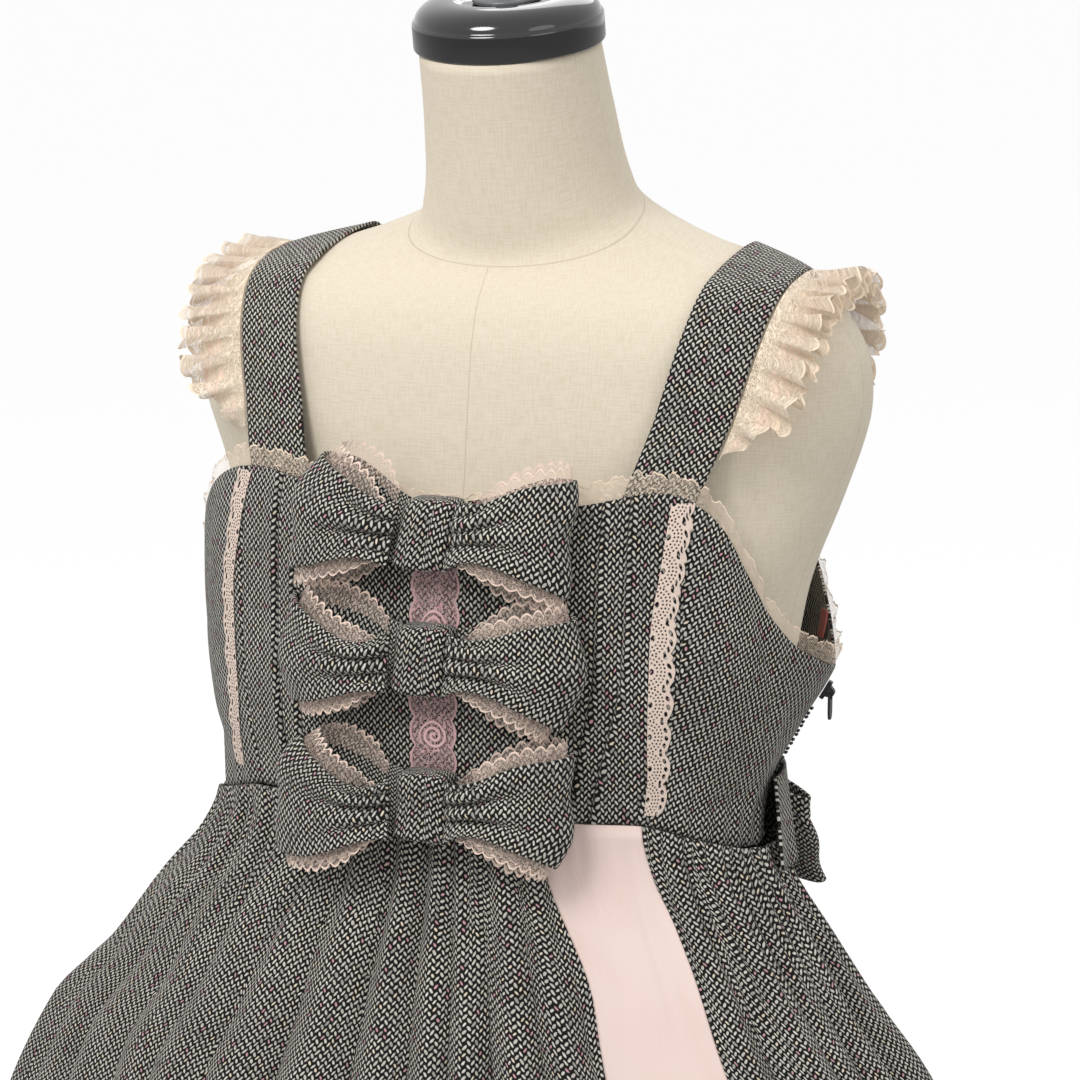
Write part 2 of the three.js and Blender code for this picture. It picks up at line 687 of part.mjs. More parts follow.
// Gathered skirt, one wall for each panel, from the waist seam to the hem.
function skirt() {
  const rows = [0, 0.2, 0.4, 0.58, 0.72, 0.83, 0.92, 1];
  const edge = (name, drop) => {
    const row = PANEL_EDGES.find((entry) => entry.name === name);
    return mix(row.waist, row.hem, ease(clamp(drop * row.ramp, 0, 1)));
  };
  const panel = (name, from, to, columns, thickness, finish, fromAdd = 0, toAdd = 0) => {
    const gap = 0.06;
    const place = (u, v) => {
      const drop = 1 - v;
      const start = edge(from, drop) + fromAdd + gap;
      const end = edge(to, drop) + toAdd - gap;
      const turn = mix(start, end, u);
      return skirtPoint(turn, mix(HEM_LEVEL, waistLevel(turn) - SEAM, v));
    };
    add(name, wall({ across: columns, along: rows, place, thickness }), finish);
  };
  panel("skirt_front", "front_to_side_right", "front_to_satin", 32, TWEED, "tweed");
  panel("satin_inset", "front_to_satin", "satin_to_side", 6, SATIN, "satin");
  panel("skirt_side_left", "satin_to_side", "side_to_back_left", 34, TWEED, "tweed");
  panel("skirt_side_right", "side_to_back_right", "front_to_side_right", 34, TWEED, "tweed");
  panel("skirt_back", "side_to_back_left", "side_to_back_right", 30, TWEED, "tweed", 0, 360);
}

// Tie over the waist seam, from the side seam to the knot at the centre back.
function sashPlace(side) {
  const word = side > 0 ? "left" : "right";
  const start = SASH_START[word];
  return (u, v) => {
    const back = side > 0 ? u : 1 - u;
    const turn = side * mix(start, SASH_END, back);
    const narrow = 1 - 0.35 * ease((back - 0.55) / 0.45);
    const f = 0.5 + (v - 0.5) * narrow;
    const low = skirtPoint(turn, SASH_LOW);
    const high = bodicePoint(turn, SASH_HIGH);
    const point = low.lerp(high, f);
    const outward = new THREE.Vector3(point.x, point.y + 20, 0).normalize();
    point.addScaledVector(outward, SASH_OUT + SASH_RAISE[word] * (1 - ease(back)));
    point.z = mix(SASH_LOW, SASH_HIGH, f);
    return point;
  };
}

// Outermost depth of the back's cloth at a place across it, under the bow and its tails.
function backReach(x, level) {
  const skirtLevel = Math.min(level, SASH_LOW);
  const skirtDepth = (at) => {
    const size = (name) => columnAt(SKIRT, "level", name, at);
    const across = clamp(x / size(x > 0 ? "left" : "right"), -1, 1);
    const folds = BACK_FOLD_DEPTH * foldGrowth(at, waistLevel(180));
    return size("mid") + (size("back") - size("mid")) * Math.sqrt(1 - across * across) + folds;
  };
  const f = clamp((level - SASH_LOW) / (SASH_HIGH - SASH_LOW), 0, 1);
  const sash = mix(skirtDepth(SASH_LOW), bodiceDepth(x, SASH_HIGH, false), f) + SASH_OUT;
  const skirtReach = skirtDepth(skirtLevel);
  const under = level > SASH_LOW - BOW_TUCK ? Math.max(skirtReach, sash) : skirtReach;
  return under + TWEED + SEAM;
}

function backBow() {
  for (const [word, side] of [["left", 1], ["right", -1]]) {
    add(`sash_${word}`, wall({
      across: 16, along: 2, place: sashPlace(side), thickness: TWEED,
    }), "tweed");
    // Made facing the front, then turned round to the back.
    const ground = (x, z) => -backReach(side * x, z);
    const shape = { ...BACK_BOW, level: BACK_BOW_LEVEL, ground: (x, z) => ground(x * 0.6, z) };
    const loop = wall({ across: 16, along: 2, place: loopPlace(shape), thickness: TWEED });
    add(`back_bow_${word}`, (side > 0 ? mirrored(loop) : loop).rotateZ(Math.PI), "tweed");
    const tail = wall({
      across: 2,
      along: 10,
      thickness: TWEED,
      place: (u, v) => {
        const drop = 1 - v;
        const level = BACK_BOW_LEVEL - BACK_KNOT.height - 3 * SEAM - BACK_TAIL.length * drop;
        const x = BACK_TAIL.apart + BACK_TAIL.swing * drop + u * mix(BACK_TAIL.top, BACK_TAIL.foot, drop);
        const away = mix(BACK_TAIL.off, BACK_TAIL.footOff, ease(drop));
        return new THREE.Vector3(x, ground(x, level) - away, level - BACK_TAIL.slant * drop * u);
      },
    });
    add(`back_tail_${word}`, (side > 0 ? mirrored(tail) : tail).rotateZ(Math.PI), "tweed");
  }
  const middle = (x, z) => KNOT_SEAT - backReach(x, z);
  add("back_bow_knot", knot(middle, BACK_BOW_LEVEL, BACK_KNOT).rotateZ(Math.PI), "tweed");
}

// Zip slider on the side seam, and its pull tab, which hangs from the slider's bridge.
function zip() {
  const seat = bodicePoint(ZIP_TURN, ZIP_LEVEL);
  const below = bodicePoint(ZIP_TURN, ZIP_LEVEL - 8);
  const out = new THREE.Vector3(seat.x, seat.y + 20, 0).normalize();
  const slope = Math.atan2(seat.clone().sub(below).dot(out), 8);
  const holder = new THREE.Group();
  holder.position.copy(seat.addScaledVector(out, PIN_OUT + TWEED + 1));
  holder.rotation.z = Math.atan2(out.y, out.x);
  model.add(holder);
  const carrier = new THREE.Group();
  carrier.rotation.y = slope;
  holder.add(carrier);

  const profile = new THREE.Shape([
    [0, -5], [2.2, -5], [2.4, -3], [4.6, -2.2], [5.8, -0.9],
    [5.8, 0.9], [4.6, 2.2], [2.4, 3], [2.2, 5], [0, 5],
  ].map(([x, z]) => new THREE.Vector2(x, z)));
  const tunnel = new THREE.Path();
  tunnel.absarc(PIN_OUT, 0, 1.15, 0, 2 * Math.PI, true);
  profile.holes.push(tunnel);
  const body = new THREE.ExtrudeGeometry(profile, { depth: 3.4, bevelEnabled: false, curveSegments: 5 });
  body.rotateX(Math.PI / 2).translate(-PIN_OUT, 1.7, 0);
  add("zip_slider", body, "zip", carrier);

  const tab = new THREE.Shape([
    [-3.2, 0.6], [-3.2, -10], [-2.4, -13], [-1.2, -14], [1.2, -14], [2.4, -13], [3.2, -10], [3.2, 0.6],
  ].map(([y, z]) => new THREE.Vector2(y, z)));
  const eye = new THREE.Path([
    [-2.2, -0.6], [2.2, -0.6], [2.2, -3.7], [-2.2, -3.7],
  ].map(([y, z]) => new THREE.Vector2(y, z)));
  tab.holes.push(eye);
  const plate = new THREE.ExtrudeGeometry(tab, { depth: 1.2, bevelEnabled: false, curveSegments: 4 });
  plate.rotateX(Math.PI / 2).rotateZ(Math.PI / 2).translate(-0.6, 0, 0);
  add("pull_tab", plate, "zip", holder);
}

// Small ribbon loop sewn inside the back, by the zip.
function hangerLoop() {
  const place = (u, v) => bodicePoint(mix(113, 116.5, u), mix(1122, 1137, v));
  const inside = movedOut(place, -(LACE + 2.4));
  add("hanger_ribbon", wall({ across: 2, along: 2, place: inside, thickness: LACE }), "ribbon");
}

stand();
paddedForm();
bodice();
bodiceLace();
straps();
frontBows();
skirt();
backBow();
zip();
hangerLoop();

export default model;
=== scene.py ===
"""Looks of a tweed pinafore dress with lace and bows, worn by a padded dress form.

Each piece of cloth is a grid laid on a surface: a function of u, which runs across the piece
towards the wearer's left, and v, which runs up it, so the grid faces outwards. The surfaces
are worked out in millimetres and built in metres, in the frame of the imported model.
"""

import logging
import math
from collections.abc import Callable, Sequence
from dataclasses import dataclass, field, replace
from enum import Enum
from functools import partial

import bmesh
import bpy
import numpy as np
from mathutils import Matrix, Vector

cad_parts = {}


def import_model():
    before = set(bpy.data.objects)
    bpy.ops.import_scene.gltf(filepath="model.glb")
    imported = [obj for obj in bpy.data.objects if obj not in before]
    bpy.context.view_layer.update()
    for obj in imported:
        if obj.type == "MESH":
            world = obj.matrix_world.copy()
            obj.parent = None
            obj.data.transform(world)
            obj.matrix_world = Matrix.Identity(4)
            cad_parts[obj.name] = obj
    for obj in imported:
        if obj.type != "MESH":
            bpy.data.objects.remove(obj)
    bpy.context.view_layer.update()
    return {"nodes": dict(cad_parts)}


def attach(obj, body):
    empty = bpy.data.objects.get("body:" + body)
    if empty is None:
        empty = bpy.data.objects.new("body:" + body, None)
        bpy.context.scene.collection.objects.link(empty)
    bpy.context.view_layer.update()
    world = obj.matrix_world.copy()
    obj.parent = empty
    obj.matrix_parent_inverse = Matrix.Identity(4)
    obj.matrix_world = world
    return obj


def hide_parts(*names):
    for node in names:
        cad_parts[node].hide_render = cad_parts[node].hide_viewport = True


log = logging.getLogger("pinafore")

MM = 0.001
TWEED_THICKNESS = 1.6
SATIN_THICKNESS = 1.2
SEAM = 0.3
LACE = 1.0
LACE_OUT = TWEED_THICKNESS + 0.7
HEM_LEVEL = 455.0
FORM_BOTTOM = 740.0
NECK_TOP = 1424.0
ZIP_TURN = 97.0
ZIP_BULGE = 3.0
PANEL_SEAM_TURN = 44.0
DRESS = "dress"
SIDES = (("left", 1), ("right", -1))

Numbers = np.ndarray
Place = Callable[[Numbers, Numbers], Numbers]
Socket = bpy.types.NodeSocket
Add = Callable[..., Socket]


def ease(value: Numbers) -> Numbers:
    """Smooth step from 0 to 1 of a value that is held between them."""
    held = np.clip(value, 0.0, 1.0)
    return held * held * (3.0 - 2.0 * held)


def mix(start: Numbers, end: Numbers, share: Numbers) -> Numbers:
    """Value that lies a share of the way from a start to an end."""
    return start + (end - start) * share


def scatter(number: Numbers, seed: float = 0.0) -> Numbers:
    """Fixed uneven values from 0 to 1, one for each whole number."""
    raw = np.sin(np.asarray(number, float) * 12.9898 + seed * 78.233) * 43758.5453
    return raw - np.floor(raw)


class Sections:
    """Smooth curves through the rows of a short table, read at places of its first column."""

    def __init__(self, names: Sequence[str], rows: Sequence[Sequence[float]]) -> None:
        """Keeps the table's columns and their slopes at each row.

        Args:
            names: The columns' names.
            rows: The table's rows, in the order of their first column.
        """
        columns = np.array(rows, float).T
        self.key = columns[0]
        self.columns = dict(zip(names, columns))
        before = np.maximum(np.arange(len(rows)) - 1, 0)
        after = np.minimum(np.arange(len(rows)) + 1, len(rows) - 1)
        run = self.key[after] - self.key[before]
        self.slopes = {n: (c[after] - c[before]) / run for n, c in self.columns.items()}

    def at(self, name: str, place: Numbers) -> Numbers:
        """Smooth value of a column.

        Args:
            name: The column's name.
            place: Places in the first column's units.

        Returns:
            The column's values there.
        """
        place = np.clip(np.asarray(place, float), self.key[0], self.key[-1])
        row = np.clip(np.searchsorted(self.key, place) - 1, 0, len(self.key) - 2)
        column, slope = self.columns[name], self.slopes[name]
        span = self.key[row + 1] - self.key[row]
        share = (place - self.key[row]) / span
        rise = column[row + 1] - column[row]
        start, end = slope[row] * span, slope[row + 1] * span
        bend = 3 * rise - 2 * start - end + share * (start + end - 2 * rise)
        return column[row] + share * (start + share * bend)

    def read(self, names: str, place: Numbers) -> list[Numbers]:
        """Smooth values of several columns, whose names are given in one line."""
        return [self.at(name, place) for name in names.split()]


FORM = Sections(
    ("level", "half", "front", "back", "mid", "lean"),
    [
        (740, 158, 100, 108, 0, 0),
        (800, 166, 104, 118, 2, 0),
        (860, 154, 100, 96, 0, 0),
        (930, 114, 90, 58, -14, 0),
        (990, 118, 94, 50, -20, 0),
        (1052, 129, 105, 50, -26, 0),
        (1085, 138, 111, 57, -22, 0),
        (1120, 147, 113, 68, -16, 0),
        (1160, 153, 103, 80, -8, 0),
        (1202, 168, 88, 85, -4, 0),
        (1240, 181, 82, 82, -6, 0),
        (1262, 183, 79, 78, -8, 0.01),
        (1281, 179, 76, 73, -10, 0.03),
        (1300, 163, 71, 66, -10, 0.1),
        (1312, 139, 66, 62, -8, 0.16),
        (1318, 108, 63, 60, -6, 0.2),
        (1334, 64, 54, 55, -2, 0.3),
        (1352, 52.5, 57, 49, -4, 0.28),
        (1390, 47.2, 65, 34, -15, 0.22),
        (1424, 44.8, 74, 19, -27, 0.188),
    ],
)
BODICE = Sections(
    ("level", "right", "left", "front", "back", "mid"),
    [
        (1000, 155, 136, 119, 58, -33),
        (1052, 156, 137, 118, 60, -33),
        (1085, 166, 149, 121, 78, -22),
        (1125, 173, 165, 121, 92, -12),
        (1185, 174.5, 167, 116, 97, -12),
        (1215, 172, 168, 109, 96, -12),
        (1245, 170, 167, 101, 92, -12),
    ],
)
SKIRT = Sections(
    ("level", "right", "left", "front", "back", "mid"),
    [
        (455, 372, 336, 222, 254, -6),
        (600, 340, 300, 196, 220, -10),
        (760, 304, 262, 168, 178, -18),
        (905, 248, 201, 140, 122, -26),
        (940, 218, 182, 134, 106, -29),
        (978, 194, 164, 127, 88, -31),
        (1008, 169, 148, 122, 72, -33),
        (1032, 157, 139, 119, 63, -33),
        (1056, 156, 137, 119, 61, -33),
    ],
)
BODICE_TOP = Sections(
    ("turn", "level"),
    [
        (-180, 1192), (-150, 1199), (-138, 1203), (-128, 1188), (-116, 1158), (-102, 1140),
        (-88, 1138), (-76, 1156), (-66, 1182), (-57, 1202), (-42, 1213), (-24, 1209), (0, 1202),
        (24, 1209), (37, 1215), (45, 1210), (52, 1196), (58, 1174), (64, 1152), (74, 1133),
        (97, 1116), (107, 1120), (118, 1141), (128, 1173), (138, 1198), (150, 1199), (180, 1192),
    ],
)
WAIST = Sections(
    ("turn", "level"),
    [
        (-180, 1024), (-110, 1026), (-78, 1033), (-60, 1041), (-43, 1050), (0, 1052),
        (43, 1051), (60, 1041), (78, 1032), (110, 1026), (180, 1024),
    ],
)
TRIM_TURN = Sections(
    ("level", "left", "right"),
    [
        (1040, 49, 55.5),
        (1070, 46.8, 52.5),
        (1092, 44, 50),
        (1114, 41.4, 49.3),
        (1135, 40.4, 49.2),
        (1156, 40.6, 49),
        (1180, 42, 47),
        (1220, 43.3, 44),
    ],
)


@dataclass(frozen=True)
class Fold:
    """One ridge of the gathered skirt: its turns at the waist and the hem, and its size."""

    waist: float
    hem: float
    spread: float
    depth: float


def fill_folds(first: float, last: float, count: int, seed: float) -> list[Fold]:
    """Uneven ridges between two turns.

    Args:
        first: Turn where they start.
        last: Turn where they end.
        count: How many there are.
        seed: Shifts the unevenness.

    Returns:
        The ridges.
    """
    step = (last - first) / count
    wander = [math.sin(k * 2.4 + seed) for k in range(count)]
    turns = [first + step * (k + 0.5 + 0.18 * w) for k, w in enumerate(wander)]
    return [
        Fold(turn, turn + 0.8 * w, step * (0.3 + 0.05 * w), 19 + 6 * w)
        for turn, w in zip(turns, wander)
    ]


FRONT_FOLDS = [
    Fold(-53, -50, 4.2, 17), Fold(-43, -40, 4.0, 16), Fold(-34, -32, 3.6, 19),
    Fold(-25, -24.5, 3.0, 18), Fold(-14, -14, 2.8, 18), Fold(-6, -5, 2.3, 16),
    Fold(1, 2, 2.0, 15), Fold(6.5, 8, 2.0, 17), Fold(13.5, 16.5, 2.4, 20),
    Fold(19.3, 24.6, 2.2, 18), Fold(34, 39, 4.8, 7), Fold(52, 53, 3.4, 18),
]
SKIRT_FOLDS = [
    *FRONT_FOLDS,
    *fill_folds(58, 140, 7, 1),
    *fill_folds(140, 220, 9, 2),
    *fill_folds(220, 302, 7, 3),
]


def wrapped(turn: Numbers) -> Numbers:
    """Turn brought to between -180 and 180 degrees."""
    return turn - 360.0 * np.round(turn / 360.0)


def section_point(
    half: Numbers, front: Numbers, back: Numbers, mid: Numbers, turn: Numbers, level: Numbers
) -> Numbers:
    """Points of level sections, made of a front and a back half ellipse.

    Args:
        half: Half width.
        front: Reach of the front from the pole's axis.
        back: Reach of the back from the pole's axis.
        mid: Depth of the widest line.
        turn: Turn from the centre front towards the wearer's left, in degrees.
        level: Height.

    Returns:
        One row for each point.
    """
    angle = np.radians(turn)
    deep = np.where(np.cos(angle) > 0, front + mid, back - mid)
    level = np.broadcast_to(level, np.shape(turn)).astype(float)
    return np.stack([half * np.sin(angle), mid - deep * np.cos(angle), level], axis=-1)


def form_point(turn: Numbers, level: Numbers) -> Numbers:
    """Point of the padded form's cover."""
    half, front, back, mid, lean = FORM.read("half front back mid lean", level)
    point = section_point(half, front, back, mid, turn, level)
    point[..., 2] += lean * (point[..., 1] - mid)
    return point


def garment_section(rows: Sections, turn: Numbers, level: Numbers) -> tuple[Numbers, ...]:
    """Section of the dress, whose two sides differ in width.

    Args:
        rows: The garment's table.
        turn: Turn from the centre front.
        level: Height.

    Returns:
        The points, and the half width, the front's reach and the middle at each of them.
    """
    left, right, front, back, mid = rows.read("left right front back mid", level)
    half = np.where(np.sin(np.radians(turn)) > 0, left, right)
    return section_point(half, front, back, mid, turn, level), half, front, mid


def bodice_point(turn: Numbers, level: Numbers) -> Numbers:
    """Point of the bodice's inner face, eased out round the closed zip."""
    turn, level = np.broadcast_arrays(np.asarray(turn, float), np.asarray(level, float))
    point, _, _, mid = garment_section(BODICE, turn, level)
    bulge = ZIP_BULGE * np.exp(-(((turn - ZIP_TURN) / 17.0) ** 2))
    bulge = bulge * ease((level - 1062.0) / 60.0)
    outward = point[..., :2] - np.stack([np.zeros_like(mid), mid], axis=-1)
    outward /= np.linalg.norm(outward, axis=-1, keepdims=True)
    point[..., :2] += outward * bulge[..., None]
    return point


def waist_level(turn: Numbers) -> Numbers:
    """Height of the waist seam."""
    return WAIST.at("level", wrapped(turn))


def top_level(turn: Numbers) -> Numbers:
    """Height of the bodice's top edge."""
    return BODICE_TOP.at("level", wrapped(turn))


def fold_growth(level: Numbers, seam: Numbers) -> Numbers:
    """How far the gathers have opened at a level, from the seam down."""
    return 0.14 + 0.86 * ease((seam - level) / 190.0)


def fine_gathers(turn: Numbers, level: Numbers, seam: Numbers) -> Numbers:
    """Small uneven puckers that the gathering thread leaves under the waist seam."""
    drop = seam - level
    pucker = np.zeros_like(drop)
    for k in range(74):
        centre = -180.0 + (k + 0.25 + 0.5 * scatter(k, 1.0)) * 360.0 / 74
        length = 55.0 + 125.0 * scatter(k, 2.0)
        depth = (2.2 + 3.4 * scatter(k, 3.0)) * (0.6 + 0.9 * ease(drop / 60.0))
        width = 0.85 + 0.5 * scatter(k, 4.0) + 0.6 * np.clip(drop / length, 0, 1)
        away = wrapped(turn - centre - 1.2 * np.clip(drop / 200.0, 0, 1) * np.sign(centre))
        shape = np.exp(-((away / width) ** 2))
        pucker -= depth * shape * ease(drop / 5.0) * ease(1.0 - drop / length)
    return pucker


def skirt_point(turn: Numbers, level: Numbers, fine: bool = False) -> Numbers:
    """Point of the skirt's inner face.

    Args:
        turn: Turn from the centre front.
        level: Height.
        fine: True to add the small puckers and creases of the cloth itself.

    Returns:
        One row for each point.
    """
    turn, level = np.broadcast_arrays(np.asarray(turn, float), np.asarray(level, float))
    point, half, front, mid = garment_section(SKIRT, turn, level)
    outward = np.stack([point[..., 0] / half, (point[..., 1] - mid) / front], axis=-1)
    outward /= np.linalg.norm(outward, axis=-1, keepdims=True)
    seam = waist_level(turn)
    drop = np.clip((seam - level) / (seam - HEM_LEVEL), 0, 1)
    ridge, crest = np.zeros_like(half), np.zeros_like(half)
    for fold in SKIRT_FOLDS:
        centre = mix(fold.waist, fold.hem, np.minimum(drop * 3, 1))
        away = wrapped(turn - centre) / fold.spread
        ridge += fold.depth * np.exp(-away * away) * (np.abs(away) < 3)
        crest = np.maximum(crest, fold.depth * (1 - (away / 2.0) ** 2))
    out = mix(ridge, crest, 0.75 if fine else 0.0) * fold_growth(level, seam)
    if fine:
        satin = ease((turn - 23.0) / 5.0) * ease((48.0 - turn) / 3.0)
        out += fine_gathers(turn, level, seam) * (1 - 0.75 * satin)
        out += 1.2 * np.sin(turn * 0.31 + level * 0.021) * ease((seam - level) / 220.0)
    point[..., :2] += outward * out[..., None]
    return point


def away_from_middle(point: Numbers) -> Numbers:
    """Level unit vectors that point away from the middle of the waist."""
    outward = point * np.array([1.0, 1.0, 0.0]) + np.array([0.0, 20.0, 0.0])
    return outward / np.linalg.norm(outward, axis=-1, keepdims=True)


def unit_normals(place: Place, u: Numbers, v: Numbers) -> Numbers:
    """Outward normals of a surface."""
    step = 1e-3
    du = place(np.minimum(u + step, 1), v) - place(np.maximum(u - step, 0), v)
    dv = place(u, np.minimum(v + step, 1)) - place(u, np.maximum(v - step, 0))
    normal = np.cross(du, dv)
    return normal / np.maximum(np.linalg.norm(normal, axis=-1, keepdims=True), 1e-9)


def moved_out(place: Place, distance: float | Place) -> Place:
    """A surface moved out along its normals.

    Args:
        place: The surface.
        distance: How far, as one number or as a function of u and v.

    Returns:
        The moved surface.
    """

    def moved(u: Numbers, v: Numbers) -> Numbers:
        away = distance(u, v) if callable(distance) else np.full_like(u, distance)
        return place(u, v) + unit_normals(place, u, v) * away[..., None]

    return moved


def mirrored(place: Place) -> Place:
    """The same surface for the other side of the wearer, still facing outwards."""
    return lambda u, v: place(1.0 - u, v) * np.array([-1.0, 1.0, 1.0])


def turned_back(place: Place) -> Place:
    """A surface made facing the front, turned round to face the back."""
    return lambda u, v: place(u, v) * np.array([-1.0, -1.0, 1.0])


def bodice_depth(x: Numbers, level: Numbers, front: bool) -> Numbers:
    """Depth of the bodice's inner face at a place across it, on its front or its back."""
    half = np.where(x > 0, BODICE.at("left", level), BODICE.at("right", level))
    turn = np.degrees(np.arcsin(np.clip(x / half, -1, 1)))
    return bodice_point(turn if front else 180.0 - turn, level)[..., 1]


@dataclass(frozen=True)
class Crease:
    """A soft trough pressed into a panel, along a line in its own u and v."""

    start: tuple[float, float]
    end: tuple[float, float]
    width: float
    depth: float


def creased(place: Place, creases: Sequence[Crease], size: tuple[float, float]) -> Place:
    """A surface with creases pressed in, each fading towards both of its ends.

    Args:
        place: The surface.
        creases: The creases.
        size: The panel's rough width and height in millimetres.

    Returns:
        The creased surface.
    """
    scale = np.array(size)

    def depth(u: Numbers, v: Numbers) -> Numbers:
        here = np.stack([u, v], axis=-1) * scale
        total = np.zeros_like(u)
        for crease in creases:
            start, end = np.array(crease.start) * scale, np.array(crease.end) * scale
            line = end - start
            length = np.linalg.norm(line)
            along = np.clip((here - start) @ line / length**2, 0, 1)
            away = np.linalg.norm(here - start - along[..., None] * line, axis=-1)
            fade = np.sin(np.pi * np.clip(0.08 + 0.84 * along, 0, 1)) ** 0.7
            total -= crease.depth * fade * np.exp(-((away / crease.width) ** 2))
        return total

    return moved_out(place, depth)


def srgb(code: str) -> tuple[float, float, float, float]:
    """Linear colour of an sRGB hex code such as e6dcc0."""
    parts = [int(code[k : k + 2], 16) / 255 for k in (0, 2, 4)]
    linear = [c / 12.92 if c <= 0.04045 else ((c + 0.055) / 1.055) ** 2.4 for c in parts]
    return (*linear, 1.0)


def add_node(
    tree: bpy.types.NodeTree,
    kind: str,
    *values: object,
    output: int | str = 0,
    by_name: dict[str, object] | None = None,
    **settings: object,
) -> Socket | None:
    """Adds a shader node with its settings and links.

    Args:
        tree: The material's node tree.
        kind: The node's type, without its ShaderNode prefix.
        values: A socket or a constant for each input in turn, or None to leave one as it is.
        output: Which output to return.
        by_name: Sockets or constants for inputs by their names.
        settings: Values for the node's own settings.

    Returns:
        The chosen output, or None where the node has none.
    """
    node = tree.nodes.new("ShaderNode" + kind)
    for name, value in settings.items():
        setattr(node, name, value)
    pairs = list(zip(node.inputs, values))
    pairs += [(node.inputs[name], value) for name, value in (by_name or {}).items()]
    for socket, value in pairs:
        if isinstance(value, Socket):
            tree.links.new(value, socket)
        elif value is not None:
            socket.default_value = value
    return node.outputs[output] if node.outputs else None


# Settings of nodes that are used often: a smooth ramp, and a blend of two colours
SMOOTH = {"interpolation_type": "SMOOTHSTEP"}
SKIP = (None,) * 5
COLOURS = {"output": 2, "data_type": "RGBA"}


def new_material(name: str) -> tuple[bpy.types.Material, Add]:
    """An empty node material, and what adds a node to it."""
    material = bpy.data.materials.new(name)
    material.use_nodes = True
    material.node_tree.nodes.clear()
    return material, partial(add_node, material.node_tree)


@dataclass(frozen=True)
class Surface:
    """What the finishes share: a material whose one shader takes its inputs from nodes."""

    name: str

    def inputs(self, add: Add) -> dict[str, object]:
        """Adds the nodes that the shader reads.

        Args:
            add: Adds a node to the material.

        Returns:
            A socket or a constant for each of the shader's inputs that is set.
        """
        raise NotImplementedError

    def material(self) -> bpy.types.Material:
        """Builds the material.

        Returns:
            The material.
        """
        material, add = new_material(self.name)
        add("OutputMaterial", add("BsdfPrincipled", by_name=self.inputs(add)))
        return material


